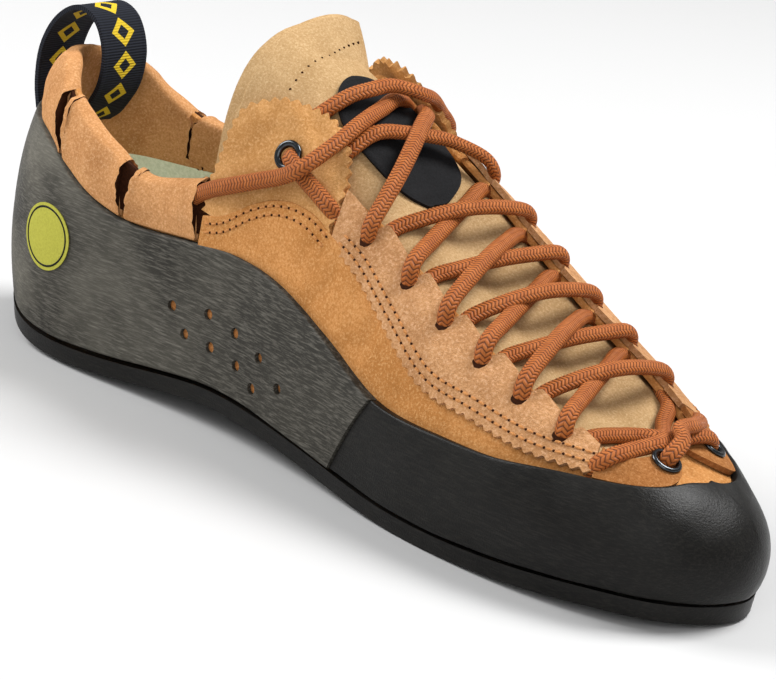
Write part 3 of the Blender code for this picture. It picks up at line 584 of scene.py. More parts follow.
def add_bead(
    bm: bmesh.types.BMesh, place: Matrix, half: tuple[float, float, float], around: int, rings: int,
) -> None:
    """Adds an ellipsoid to a bmesh.

    Args:
        bm: what it is added to.
        place: where it stands and how it is turned.
        half: its three half sizes.
        around: its sides.
        rings: its rows of faces.
    """
    matrix = place @ Matrix.Diagonal((*half, 1.0))
    bmesh.ops.create_uvsphere(bm, u_segments=around, v_segments=rings, radius=1.0, matrix=matrix)


def join(parts: list[bmesh.types.BMesh]) -> bmesh.types.BMesh:
    """One bmesh from several, which are freed."""
    whole = bmesh.new()
    for part in parts:
        mesh = bpy.data.meshes.new("part")
        part.to_mesh(mesh)
        part.free()
        whole.from_mesh(mesh)
        bpy.data.meshes.remove(mesh)
    return whole


def finish_piece(
    name: str, bm: bmesh.types.BMesh, coats: list[bpy.types.Material],
    nodes: tuple[str, ...] = (), sharp: float = 40.0,
) -> bpy.types.Object:
    """Makes a finished object that rides on the shoe.

    Args:
        name: the piece's name.
        bm: its shape in place, which is freed.
        coats: its materials.
        nodes: nodes of the frame that it replaces.
        sharp: angle in degrees above which an edge stays sharp.

    Returns:
        The object.
    """
    mesh = bpy.data.meshes.new(name)
    bm.to_mesh(mesh)
    bm.free()
    if "along" in mesh.attributes and "across" in mesh.attributes:
        corner = np.empty(len(mesh.loops), dtype=np.int32)
        mesh.loops.foreach_get("vertex_index", corner)
        chart = np.empty((len(corner), 2), np.float32)
        for k, key in enumerate(("along", "across")):
            values = np.empty(len(mesh.vertices), np.float32)
            mesh.attributes[key].data.foreach_get("value", values)
            chart[:, k] = values[corner]
        mesh.uv_layers.new(name="UVMap").uv.foreach_set("vector", chart.ravel())
    mesh.shade_smooth()
    mesh.set_sharp_from_angle(angle=math.radians(sharp))
    for coat in coats:
        mesh.materials.append(coat)
    piece = bpy.data.objects.new(name, mesh)
    bpy.context.scene.collection.objects.link(piece)
    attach(piece, "root")
    if nodes:
        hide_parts(*nodes)
    LOG.info("%s: %d faces", name, len(mesh.polygons))
    return piece


def cut_panel(
    outline: Grid, place: Callable[[Grid, Grid, Grid], Grid], cell: float, scale: tuple[float, float],
    edge: float = 0.00025,
) -> bmesh.types.BMesh:
    """Closed panel cut to an outline, from one face that is sliced into a fine grid and extruded.

    Args:
        outline: rows of (t, s) round the panel.
        place: gives places from t, s and level, where the level is 0 on the back and 1 on the face.
        cell: size of the grid.
        scale: metres for one section and for the whole of s near the panel.
        edge: width of the chamfer along the cut.

    Returns:
        The panel in place, charted in metres.
    """
    flat = outline * np.array(scale)
    bm = bmesh.new()
    bm.faces.new([bm.verts.new((x, y, 0.0)) for x, y in flat])
    bmesh.ops.inset_region(bm, faces=bm.faces[:], thickness=edge, use_even_offset=True, use_boundary=True)
    for axis in (0, 1):
        low, high = flat[:, axis].min(), flat[:, axis].max()
        for cut in np.linspace(low, high, max(3, round((high - low) / cell)))[1:-1]:
            bmesh.ops.bisect_plane(
                bm, geom=bm.verts[:] + bm.edges[:] + bm.faces[:], dist=WELD,
                plane_co=(cut, 0, 0) if axis == 0 else (0, cut, 0),
                plane_no=(1, 0, 0) if axis == 0 else (0, 1, 0),
            )
    lip = bm.verts.layers.int.new("lip")
    for vert in bm.verts:
        vert[lip] = int(vert.is_boundary)
    first = bm.verts.layers.float.new("along")
    second = bm.verts.layers.float.new("across")
    made = bmesh.ops.extrude_face_region(bm, geom=bm.faces[:])
    raised = {item for item in made["geom"] if isinstance(item, bmesh.types.BMVert)}
    verts = list(bm.verts)
    spots = np.array([(v.co.x, v.co.y) for v in verts])
    level = np.array([(LIP_LEVEL if v[lip] else 1.0) if v in raised else 0.0 for v in verts])
    places = place(spots[:, 0] / scale[0], spots[:, 1] / scale[1], level).tolist()
    for vert, spot, where in zip(verts, spots.tolist(), places):
        vert[first], vert[second] = spot
        vert.co = where
    bmesh.ops.recalc_face_normals(bm, faces=bm.faces)
    return bm


def shifted(path: Grid, distance: Grid) -> Grid:
    """A path of (t, s) moved to its left over the skin, by real distances."""
    step = np.gradient(path, axis=0)
    here = LAST.point(path[:, 0], path[:, 1])
    there = LAST.point(path[:, 0] + step[:, 0] * 0.01, path[:, 1] + step[:, 1] * 0.01)
    normal = LAST.normal(path[:, 0], path[:, 1])
    left = np.cross(normal, unit(there - here))
    first = unit(LAST.point(path[:, 0] + NUDGE, path[:, 1]) - LAST.point(path[:, 0] - NUDGE, path[:, 1]))
    second = np.cross(normal, first)
    ahead, aside = (distance * (left * way).sum(1) for way in (first, second))
    t, s = LAST.spread(path[:, 0], path[:, 1], ahead, aside)
    return np.stack([t, s], -1)


def pinked(path: Grid, pitch: float = 0.0030, depth: float = 0.0011, step: float = 0.0004) -> Grid:
    """A path of (t, s) with the rounded zigzag of pinking shears cut into its left side."""
    rows = even(LAST.point(path[:, 0], path[:, 1]), step)
    fine = at_rows(path, rows)
    run = travelled(LAST.point(fine[:, 0], fine[:, 1]))
    teeth = max(1, round(run[-1] / pitch))
    phase = run / run[-1] * teeth
    wave = eased(np.abs((phase % 1.0) - 0.5) * 2)
    drift = 0.25 * np.sin(run / 0.011) + 0.15 * np.sin(run / 0.0043 + 1.0)
    return shifted(fine, -depth * (wave + 0.3 * drift))


def feed(tree: bpy.types.NodeTree, node: bpy.types.Node, inputs: dict) -> None:
    """Gives a node's inputs their values, or links them to an output socket."""
    for key, value in inputs.items():
        if isinstance(value, bpy.types.NodeSocket):
            tree.links.new(value, node.inputs[key])
        else:
            node.inputs[key].default_value = value


def add_node(
    tree: bpy.types.NodeTree, kind: str, inputs: dict | None = None, stops: tuple = (), **settings: object,
) -> bpy.types.Node:
    """Adds a node with its settings, values and links.

    Args:
        tree: the material's nodes.
        kind: the node's type.
        inputs: a value or an output socket for each input, by name or number.
        stops: positions and colours, for a colour ramp.
        settings: the node's own properties.

    Returns:
        The node.
    """
    node = tree.nodes.new(kind)
    for key, value in settings.items():
        setattr(node, key, value)
    feed(tree, node, inputs or {})
    for number, (position, color) in enumerate(stops):
        ramp = node.color_ramp.elements
        element = ramp[number] if number < len(ramp) else ramp.new(position)
        element.position = position
        element.color = color
    return node


def linear(code: str) -> tuple[float, float, float, float]:
    """Linear colour of an sRGB hex value."""
    shares = [int(code[i:i + 2], 16) / 255 for i in (1, 3, 5)]
    red, green, blue = (c / 12.92 if c <= 0.04045 else ((c + 0.055) / 1.055) ** 2.4 for c in shares)
    return red, green, blue, 1.0


def new_material(name: str) -> tuple[bpy.types.Material, bpy.types.NodeTree, bpy.types.Node]:
    """An empty material with its Principled shader."""
    material = bpy.data.materials.new(name)
    material.use_nodes = True
    return material, material.node_tree, material.node_tree.nodes["Principled BSDF"]


def tinted(
    tree: bpy.types.NodeTree, value: bpy.types.NodeSocket, span: tuple[float, float], under: object,
    over: object, most: float = 1.0,
) -> bpy.types.NodeSocket:
    """Colour that goes from one to another while a value crosses a span.

    Args:
        tree: the material's nodes.
        value: the value that is looked at.
        span: from where to where it counts.
        under: colour or socket before the span.
        over: colour or socket after it.
        most: how much of the second colour there is after the span.

    Returns:
        The colour's socket.
    """
    share = add_node(tree, "ShaderNodeMapRange", {
        "Value": value, "From Min": span[0], "From Max": span[1], "To Max": most}).outputs["Result"]
    return add_node(tree, "ShaderNodeMix", {0: share, 6: under, 7: over}, data_type="RGBA").outputs[2]


@dataclass(frozen=True)
class Suede:
    """Split leather with a raised nap: matt, soft at grazing angles and speckled by its fibres, whose lighter
    flecks are partly their own tone and partly painted highlight where they catch light.
    """

    name: str
    face: str
    shade: str
    # lighter flecks: partly the fibres' own tone, partly painted highlight where the fibres catch light
    fleck_and_highlight: str
    grain: float = 0.00065  # size of the speckles
    nap: float = 0.011  # size of the brushed patches
    bump: float = 0.45

    def coat(self) -> bpy.types.Material:
        """The suede's material."""
        material, tree, shader = new_material(self.name)
        place = add_node(tree, "ShaderNodeTexCoord").outputs["Object"]
        patches = add_node(tree, "ShaderNodeTexNoise", {
            "Vector": place, "Scale": 1 / self.nap, "Detail": 3.0, "Roughness": 0.6}).outputs["Fac"]
        grain = add_node(tree, "ShaderNodeTexNoise", {
            "Vector": place, "Scale": 1 / self.grain, "Detail": 3.0, "Roughness": 0.7}).outputs["Fac"]
        fibre = add_node(tree, "ShaderNodeTexNoise", {
            "Vector": place, "Scale": 2.6 / self.grain, "Detail": 2.0, "Roughness": 0.6}).outputs["Fac"]
        tone = tinted(tree, patches, (0.22, 0.62), linear(self.shade), linear(self.face))
        # Lighter flecks: partly the fibres' own tone, partly painted highlight where the fibres catch light.
        flecked_and_highlighted = tinted(tree, grain, (0.50, 0.70), tone, linear(self.fleck_and_highlight), 0.65)
        color = tinted(tree, grain, (0.49, 0.32), flecked_and_highlighted, linear(self.shade), 0.70)
        height = add_node(tree, "ShaderNodeMath", {0: grain, 1: fibre}, operation="ADD").outputs[0]
        normal = add_node(tree, "ShaderNodeBump", {
            "Height": height, "Strength": self.bump, "Distance": 0.0004}).outputs["Normal"]
        feed(tree, shader, {
            "Base Color": color, "Normal": normal, "Roughness": 0.95, "Specular IOR Level": 0.08,
            "Sheen Weight": 0.06, "Sheen Roughness": 0.4, "Sheen Tint": linear(self.fleck_and_highlight)})
        return material


@dataclass(frozen=True)
class Rubber:
    """Friction rubber, moulded and then ground: dark, with fine brushed scratches and chalky patches, and
    where asked, painted shade that darkens it along the foot.
    """

    name: str
    face: str
    dust: str
    deep: str
    roughness: float = 0.62
    turn: float = 0.5  # the scratches' slant in radians
    painted_shade_run: tuple[float, float] | None = None  # painted shade: from where to where along the foot it darkens

    def coat(self) -> bpy.types.Material:
        """The rubber's material."""
        material, tree, shader = new_material(self.name)
        place = add_node(tree, "ShaderNodeTexCoord").outputs["Object"]
        brushed = add_node(tree, "ShaderNodeMapping", {
            "Vector": place, "Rotation": (0.0, self.turn, 0.0), "Scale": (220.0, 1100.0, 2400.0)}).outputs[0]
        scratch = add_node(tree, "ShaderNodeTexNoise", {
            "Vector": brushed, "Scale": 1.0, "Detail": 4.0, "Roughness": 0.65}).outputs["Fac"]
        patches = add_node(tree, "ShaderNodeTexNoise", {
            "Vector": place, "Scale": 34.0, "Detail": 4.0, "Roughness": 0.6}).outputs["Fac"]
        grit = add_node(tree, "ShaderNodeTexNoise", {
            "Vector": place, "Scale": 2200.0, "Detail": 2.0}).outputs["Fac"]
        tone = tinted(tree, patches, (0.40, 0.66), linear(self.deep), linear(self.face))
        # Painted shade: the rand darkens from the heel towards the waist.
        if self.painted_shade_run:
            forward = add_node(tree, "ShaderNodeSeparateXYZ", {"Vector": place}).outputs["X"]
            tone = tinted(tree, forward, self.painted_shade_run, tone, linear(self.deep), 0.85)
        color = tinted(tree, scratch, (0.46, 0.80), tone, linear(self.dust), 0.75)
        matt = add_node(tree, "ShaderNodeMapRange", {
            "Value": patches, "From Min": 0.35, "From Max": 0.65, "To Min": self.roughness - 0.10,
            "To Max": self.roughness + 0.10}).outputs["Result"]
        height = add_node(tree, "ShaderNodeMath", {0: scratch, 1: grit}, operation="ADD").outputs[0]
        normal = add_node(tree, "ShaderNodeBump", {
            "Height": height, "Strength": 0.30, "Distance": 0.0003}).outputs["Normal"]
        feed(tree, shader, {
            "Base Color": color, "Roughness": matt, "Normal": normal, "Specular IOR Level": 0.17})
        return material


@dataclass(frozen=True)
class Braid:
    """Braided round lace: slanting plaits in narrow columns, which lean to and fro as a herringbone."""

    name: str
    yarn: str
    # painted shade: the colour of the grooves between the plaits
    gap: str
    light: str
    pitch: float = 0.0010  # from one plait to the next
    columns: float = 5.0  # from the underside to the top
    slant: float = 0.75  # plaits that one column leans over

    def coat(self) -> bpy.types.Material:
        """The braid's material, on the tube's own chart."""
        material, tree, shader = new_material(self.name)
        chart = add_node(tree, "ShaderNodeTexCoord").outputs
        parts = add_node(tree, "ShaderNodeSeparateXYZ", {"Vector": chart["UV"]}).outputs
        column = add_node(tree, "ShaderNodeMath", {
            0: parts["Y"], 1: self.columns}, operation="MULTIPLY").outputs[0]
        zigzag = add_node(tree, "ShaderNodeMath", {0: column, 1: 1.0}, operation="PINGPONG").outputs[0]
        beat = add_node(tree, "ShaderNodeMath", {0: parts["X"], 1: self.pitch}, operation="DIVIDE").outputs[0]
        phase = add_node(tree, "ShaderNodeMath", {
            0: zigzag, 1: self.slant, 2: beat}, operation="MULTIPLY_ADD").outputs[0]
        turn = add_node(tree, "ShaderNodeMath", {0: phase, 1: math.pi}, operation="MULTIPLY").outputs[0]
        wave = add_node(tree, "ShaderNodeMath", {0: turn}, operation="SINE").outputs[0]
        round_yarn = add_node(tree, "ShaderNodeMath", {0: wave}, operation="ABSOLUTE").outputs[0]
        centre = add_node(tree, "ShaderNodeMath", {0: zigzag, 1: math.pi}, operation="MULTIPLY").outputs[0]
        hill = add_node(tree, "ShaderNodeMath", {0: centre}, operation="SINE").outputs[0]
        edge = add_node(tree, "ShaderNodeMapRange", {
            "Value": hill, "From Min": 0.0, "From Max": 0.55, "To Min": 0.55}).outputs["Result"]
        height = add_node(tree, "ShaderNodeMath", {0: round_yarn, 1: edge}, operation="MULTIPLY").outputs[0]
        uneven = add_node(tree, "ShaderNodeTexNoise", {
            "Vector": chart["Object"], "Scale": 420.0, "Detail": 3.0}).outputs["Fac"]
        yarn = add_node(tree, "ShaderNodeMix", {
            0: uneven, 6: linear(self.yarn), 7: linear(self.light)}, data_type="RGBA").outputs[2]
        # Where the height is low, between the plaits and at the columns' edges, the colour goes to the
        # painted shade of gap.
        color = tinted(tree, height, (0.08, 0.62), linear(self.gap), yarn)
        normal = add_node(tree, "ShaderNodeBump", {
            "Height": height, "Strength": 0.9, "Distance": 0.0003}).outputs["Normal"]
        feed(tree, shader, {
            "Base Color": color, "Normal": normal, "Roughness": 0.6, "Specular IOR Level": 0.25})
        return material


@dataclass(frozen=True)
class Webbing:
    """Flat woven tape: fine ribs across, a selvedge along each side and woven dashes down the middle."""

    name: str
    ground: str
    rib: str
    mark: str
    width: float = LOOP_WIDTH
    repeat: float = 0.0085  # length of one woven mark and its space
    rib_pitch: float = 0.0007

    def coat(self) -> bpy.types.Material:
        """The tape's material, on the loop's own chart."""
        material, tree, shader = new_material(self.name)
        chart = add_node(tree, "ShaderNodeTexCoord").outputs["UV"]
        parts = add_node(tree, "ShaderNodeSeparateXYZ", {"Vector": chart}).outputs
        turn = add_node(tree, "ShaderNodeMath", {
            0: parts["X"], 1: 2 * math.pi / self.rib_pitch}, operation="MULTIPLY").outputs[0]
        ribs = add_node(tree, "ShaderNodeMath", {0: turn}, operation="SINE").outputs[0]
        across = add_node(tree, "ShaderNodeMath", {0: parts["Y"]}, operation="ABSOLUTE").outputs[0]
        beat = add_node(tree, "ShaderNodeMath", {
            0: parts["X"], 1: self.repeat}, operation="DIVIDE").outputs[0]
        saw = add_node(tree, "ShaderNodeMath", {0: beat}, operation="FRACT").outputs[0]
        centred = add_node(tree, "ShaderNodeMath", {0: saw, 1: 0.5}, operation="SUBTRACT").outputs[0]
        along_mark = add_node(tree, "ShaderNodeMath", {0: centred}, operation="ABSOLUTE").outputs[0]
        reach = add_node(tree, "ShaderNodeMath", {
            0: across, 1: 0.5 / (self.width * 0.30)}, operation="MULTIPLY").outputs[0]
        diamond = add_node(tree, "ShaderNodeMath", {0: along_mark, 1: reach}, operation="ADD").outputs[0]
        outside = add_node(tree, "ShaderNodeMath", {0: diamond, 1: 0.44}, operation="LESS_THAN").outputs[0]
        inside = add_node(tree, "ShaderNodeMath", {0: diamond, 1: 0.22}, operation="GREATER_THAN").outputs[0]
        mark = add_node(tree, "ShaderNodeMath", {0: outside, 1: inside}, operation="MULTIPLY").outputs[0]
        ground = tinted(tree, ribs, (-1.0, 1.0), linear(self.ground), linear(self.rib))
        color = add_node(tree, "ShaderNodeMix", {
            0: mark, 6: ground, 7: linear(self.mark)}, data_type="RGBA").outputs[2]
        raised = add_node(tree, "ShaderNodeMath", {0: ribs, 1: mark}, operation="ADD").outputs[0]
        normal = add_node(tree, "ShaderNodeBump", {
            "Height": raised, "Strength": 0.5, "Distance": 0.00015}).outputs["Normal"]
        feed(tree, shader, {
            "Base Color": color, "Normal": normal, "Roughness": 0.75, "Specular IOR Level": 0.12})
        return material


@dataclass(frozen=True)
class Plain:
    """A small finish of one colour with a fine uneven surface, for thread, felt, print and metal, and for
    painted shade in holes and slots.
    """

    name: str
    face: str
    shade: str
    roughness: float
    metallic: float = 0.0
    grain: float = 0.0006
    bump: float = 0.2

    def coat(self) -> bpy.types.Material:
        """The finish's material."""
        material, tree, shader = new_material(self.name)
        place = add_node(tree, "ShaderNodeTexCoord").outputs["Object"]
        grain = add_node(tree, "ShaderNodeTexNoise", {
            "Vector": place, "Scale": 1 / self.grain, "Detail": 3.0, "Roughness": 0.65}).outputs["Fac"]
        color = tinted(tree, grain, (0.35, 0.65), linear(self.shade), linear(self.face))
        normal = add_node(tree, "ShaderNodeBump", {
            "Height": grain, "Strength": self.bump, "Distance": 0.0003}).outputs["Normal"]
        feed(tree, shader, {
            "Base Color": color, "Normal": normal, "Roughness": self.roughness, "Metallic": self.metallic,
            "Specular IOR Level": 0.5 if self.metallic else 0.12})
        return material


@dataclass
class Coats:
    """The shoe's finishes, made once."""

    quarter: bpy.types.Material
    collar: bpy.types.Material
    flap: bpy.types.Material
    eyestay: bpy.types.Material
    tab: bpy.types.Material
    tongue: bpy.types.Material
    rand: bpy.types.Material
    toe_rubber: bpy.types.Material
    lace: bpy.types.Material
    webbing: bpy.types.Material
    metal: bpy.types.Material
    felt: bpy.types.Material
    thread: bpy.types.Material
    painted_shade: bpy.types.Material
    cloth: bpy.types.Material
    print_green: bpy.types.Material
    print_dark: bpy.types.Material


def make_coats() -> Coats:
    """Every finish of the shoe."""
    return Coats(
        # Each suede's last colour is its lighter flecks, partly painted highlight.
        quarter=Suede("orange_tan_split_suede", "#C2874E", "#A36C37", "#DAA972").coat(),
        collar=Suede("light_tan_split_suede", "#C7915F", "#A97547", "#DFB184").coat(),
        flap=Suede("brown_tan_split_suede", "#C7945C", "#A87641", "#DDB07C").coat(),
        eyestay=Suede("rough_pink_tan_suede", "#C19063", "#9D6F47", "#DCB08A", grain=0.0008, bump=0.6).coat(),
        tab=Suede("russet_split_suede", "#A06A3B", "#804E26", "#BF8A5B").coat(),
        tongue=Suede("beige_split_suede", "#B4946A", "#9B7B52", "#CBAF86", grain=0.0006, bump=0.3).coat(),
        # The rand's painted shade darkens it from the heel to the waist.
        rand=Rubber(
            "ground_grey_friction_rubber", "#66635A", "#7D7970", "#2D2B26", painted_shade_run=(-0.035, 0.06)).coat(),
        toe_rubber=Rubber(
            "brushed_black_friction_rubber", "#151412", "#2B2925", "#0E0D0C", 0.42, 0.25).coat(),
        # The lace's second colour is painted shade in the grooves between the plaits.
        lace=Braid("russet_braided_polyester", "#8F4614", "#50250C", "#BF7135").coat(),
        webbing=Webbing("blue_black_woven_tape", "#14161B", "#23262F", "#CDAF2B").coat(),
        metal=Plain("gunmetal_plated_brass", "#4A4D50", "#3A3C3E", 0.22, 1.0, 0.002, 0.05).coat(),
        felt=Plain("pale_green_lining_felt", "#E9EFDC", "#D5DEC6", 0.95, grain=0.0009, bump=0.4).coat(),
        thread=Plain("tan_polyester_thread", "#C98E58", "#A66B36", 0.7, grain=0.0003).coat(),
        # Painted shade: the near-black brown that stands for shade in stitch holes, lace holes, the collar's
        # slots and the band's cut ends.
        painted_shade=Plain("shadowed_needle_hole", "#3A1D0C", "#2A1307", 0.95).coat(),
        cloth=Plain("plain_black_woven_cloth", "#1B1B1D", "#111112", 0.8, grain=0.0005, bump=0.5).coat(),
        print_green=Plain("yellow_green_screen_print", "#B1AE46", "#A3A03E", 0.6, bump=0.1).coat(),
        print_dark=Plain("black_screen_print", "#1C1E17", "#161712", 0.6, bump=0.1).coat(),
    )


@dataclass
class Stitching:
    """Rows of thread with a stitch hole between each stitch and the next, dark with painted shade."""

    coats: Coats
    pitch: float = 0.0025
    length: float = 0.0019
    radius: float = 0.00036

    def spots(self, path: Grid, height: Grid | float) -> list[tuple[Vector, Vector, Vector]]:
        """Middles, directions and normals of the stitches along a path of (t, s)."""
        rows = even(LAST.point(path[:, 0], path[:, 1]), self.pitch / 2)
        fine = at_rows(path, rows)
        places = layer(fine[:, 0], fine[:, 1], np.broadcast_to(height, rows.shape))
        run = np.gradient(places, axis=0)
        normals = LAST.normal(fine[:, 0], fine[:, 1])
        return [(Vector(p), Vector(r).normalized(), Vector(n)) for p, r, n in zip(places, run, normals)]

    def sew(self, name: str, runs: list[tuple[Grid, float]], slot: str) -> None:
        """Adds the thread of several runs, and the stitch holes between as dark beads of painted shade.

        Args:
            name: the start of both pieces' names.
            runs: a path of (t, s) and a height for each.
            slot: not used.
        """
        thread, holes = bmesh.new(), bmesh.new()
        for path, height in runs:
            for number, (spot, run, up) in enumerate(self.spots(path, height)):
                side = up.cross(run).normalized()
                place = Matrix.Translation(spot) @ Matrix((run, side, up)).transposed().to_4x4()
                # Even spots get thread; odd spots get a dark bead of painted shade for the stitch hole.
                if number % 2 == 0:
                    add_bead(thread, place, (self.length / 2, self.radius, self.radius * 0.8), 8, 5)
                else:
                    add_bead(holes, place, (self.radius, self.radius, self.radius * 0.5), 8, 5)
        finish_piece(name + "_thread", thread, [self.coats.thread])
        finish_piece(name + "_needle_holes", holes, [self.coats.painted_shade])


@dataclass
class RubberWork:
    """Outsole, rands and heel strip, with the vent holes and a plain printed disc."""

    coats: Coats
    sole_rows: int = 190
    sole_columns: int = 44
    edge_round: float = 0.0007
    rise: float = 0.09  # metres for the whole of s on the rands
    ease_rows: int = 4  # rounds that find the rands' top edge along the slanted joint

    def bed(self, height: float, shares: Grid, drop: float, count: int) -> Grid:
        """Grid of the foot bed, sagging towards its middle.

        Args:
            height: how far outside the edge of the last the grid ends.
            shares: places across, -1 on the inner side to 1 on the outer side.
            drop: depth of the sag.
            count: how many rows there are from toe to heel.

        Returns:
            Rows by columns of places.
        """
        table = np.array((
            (12.55, 1.0), (12.2, 0.68), (11.8, 0.36), (11.4, 0.12), (11.0, 0.0), (3.0, 0.0), (2.6, 0.04),
            (2.2, 0.2), (1.8, 0.5), (1.4, 0.78), (1.0, 1.0),
        ))
        t = np.linspace(table[0, 0], table[-1, 0], count)
        bow = np.interp(-t, -table[:, 0], table[:, 1])[:, None]
        w = np.broadcast_to(shares[None, :], (count, len(shares)))
        t = np.broadcast_to(t[:, None], w.shape)
        inner = LAST.skin(t, 0.0 * t, height + 0 * t)
        outer = LAST.skin(-t, 0.0 * t, height + 0 * t)
        swept = np.where(t > TOE / 2, TOE + (TOE - t) * w, -t * w)
        arc = LAST.skin(swept, 0.0 * t, height + 0 * t)
        chord = inner * ((1 - w) / 2)[..., None] + outer * ((1 + w) / 2)[..., None]
        grid = chord * (1 - bow)[..., None] + arc * bow[..., None]
        grid[..., 2] -= drop * (1 - w * w) * (1 - bow)
        return grid

    def outsole(self) -> None:
        """One friction rubber sheet, flat on the floor under heel and forefoot."""
        shares = 2 * crowded(self.sole_columns, 0.7, 0.7) - 1
        top = self.bed(RAND_OUT, shares, SOLE_SAG, self.sole_rows)
        low = self.bed(RAND_OUT - self.edge_round, shares, SOLE_SAG, self.sole_rows)
        low[..., 2] = np.maximum(0.0, top[..., 2] - GAP - SOLE)
        top[..., 2] = low[..., 2] + SOLE
        sheet = solid_grid(top, low)
        finish_piece("outsole_sheet", sheet, [self.coats.toe_rubber], ("outsole",))

    def band(self, t: Grid, s: Grid, thick: Grid | float, base: float = OVER_IN) -> bmesh.types.BMesh:
        """A rubber band between two edges, with a rounded rim at both.

        Args:
            t: grid of sections.
            s: grid of shares, low edge first.
            thick: height of its face over the last.
            base: height of its back.

        Returns:
            The band.
        """
        outer_skin = LAST.point(t, s)
        height = np.linalg.norm(np.diff(outer_skin, axis=1), axis=2).sum(axis=1)[:, None]
        share = (s - s[:, :1]) / (s[:, -1:] - s[:, :1])
        rounding = rim(share, height, self.edge_round)
        wave = 0.00008 * np.sin(t * 3.1 + s * 9.0) + 0.00006 * np.sin(t * 7.3 - s * 21.0)
        face = base + (thick - base) * (0.72 + 0.28 * rounding) + wave
        chart = np.stack([np.broadcast_to(t * SECTION_RUN, s.shape), s * self.rise], -1)
        return solid_grid(layer(t, s, face, False), layer(t, s, base + 0 * s, False), chart=chart)

    def slanted(self, t: Grid, low: Grid, blend: Grid, columns: int) -> tuple[Grid, Grid]:
        """Grid of a rand whose end leans along the joint.

        Args:
            t: signed sections of its foot.
            low: s of its lower edge.
            blend: how much of the joint's slant each row has.
            columns: how many places there are from its lower to its upper edge.

        Returns:
            The grid's t and s.
        """
        lean = np.sign(t) * blend
        top = along(RAND_TOP, t)
        for _ in range(self.ease_rows):
            top = along(RAND_TOP, t + lean * JOINT_SLANT * top)
        s = low[:, None] + (top - low)[:, None] * crowded(columns, 0.85, 0.85)
        return t[:, None] + lean[:, None] * JOINT_SLANT * s, s

    def heel_rand(self) -> None:
        """Rubber round the heel and along both waists, with the vent holes punched in it."""
        near = STRIP_T * np.sin(np.linspace(0, math.pi / 2, 36))
        size = np.concatenate([near, np.linspace(STRIP_T, JOINT_LOW, 230)[1:]])
        t = np.concatenate([-size[:0:-1], size])
        notch = STRIP_S * (1 - np.clip(np.abs(t) / STRIP_T, 0, 1) ** 3) ** (1 / 3)
        low = np.where(np.abs(t) < STRIP_T, notch, LOW_S)
        end = np.clip((np.abs(t) - JOINT_REACH[0]) / (JOINT_LOW - JOINT_REACH[0]), 0, 1)
        grid_t, s = self.slanted(t, low, end, 34)
        step = RAND_STEP * np.clip(np.abs(t) - STEP_FROM, 0, 1)[:, None]
        rand = finish_piece(
            "heel_rand_rubber", self.band(grid_t, s, RAND_OUT + step), [self.coats.rand],
            ("heel_rand",))
        self.punch(rand)

    def punch(self, rand: bpy.types.Object) -> None:
        """Cuts the vent holes through the heel rand."""
        bm = bmesh.new()
        for t, s in PERFORATIONS:
            bmesh.ops.create_cone(
                bm, cap_ends=True, segments=20, radius1=PERFORATION, radius2=PERFORATION, depth=0.010,
                matrix=seated(LAST.skin(t, s, RAND_OUT), LAST.normal(t, s)))
        mesh = bpy.data.meshes.new("punches")
        bm.to_mesh(mesh)
        bm.free()
        cutter = bpy.data.objects.new("punches", mesh)
        bpy.context.scene.collection.objects.link(cutter)
        cut = rand.modifiers.new("punch", "BOOLEAN")
        cut.operation = "DIFFERENCE"
        cut.object = cutter
        bpy.context.view_layer.update()
        whole = rand.evaluated_get(bpy.context.evaluated_depsgraph_get())
        punched = bpy.data.meshes.new_from_object(whole)
        rand.modifiers.clear()
        rand.data = punched
        bpy.data.objects.remove(cutter)

    def vents(self) -> None:
        """The suede that shows in the vent holes."""
        bm = bmesh.new()
        for t, s in PERFORATIONS:
            place = seated(LAST.skin(t, s, RAND_OUT - 0.0011), LAST.normal(t, s))
            add_bead(bm, place, (PERFORATION * 1.02, PERFORATION * 1.02, 0.0004), 20, 8)
        finish_piece("vent_hole_suede", bm, [self.coats.tab])

    def toe_rand(self) -> None:
        """Rubber round the forefoot, butted against the heel rand."""
        start = JOINT_LOW + SEAM_T
        size = np.linspace(start, TOE, 210)
        t = np.concatenate([size, -size[-2::-1]])
        blend = np.clip((JOINT_REACH[1] - np.abs(t)) / (JOINT_REACH[1] - start), 0, 1)
        grid_t, s = self.slanted(t, np.full(t.shape, LOW_S), blend, 38)
        band = self.band(grid_t, s, RAND_OUT)
        finish_piece("toe_rand_rubber", band, [self.coats.toe_rubber], ("toe_rand",))

    def heel_strip(self) -> None:
        """Rubber strip up the back of the heel, in the notch of the rand."""
        heights = np.linspace(0.0, 0.985, 50)
        half = (1 - heights**3) ** (1 / 3) * (STRIP_T - STRIP_GAP)
        across = 2 * crowded(40, 0.8, 0.8) - 1
        t = across[:, None] * half[None, :]
        s = np.broadcast_to(LOW_S + heights * (STRIP_S - LOW_S - STRIP_GAP / 8), t.shape)
        band = self.band(t, s, RAND_OUT)
        finish_piece("heel_strip_rubber", band, [self.coats.rand], ("heel_strip",))

    def circle(self, radius: float, count: int) -> tuple[Grid, Grid]:
        """The t and s of a circle round the badge's middle, whose last place is its first."""
        angle = np.linspace(0, 2 * math.pi, count)
        centre_t, centre_s = (np.full(angle.shape, value) for value in BADGE)
        return LAST.spread(centre_t, centre_s, radius * np.cos(angle), radius * np.sin(angle))

    def badge(self) -> None:
        """A plain round print with a thin dark ring, on the heel rand's face."""
        outline = np.stack(self.circle(BADGE_RADIUS, 65), -1)[:-1]

        def place(t: Grid, s: Grid, level: Grid) -> Grid:
            """Places through the print's thickness."""
            return layer(t, s, RAND_OUT + 0.0001 + 0.00025 * level, False)

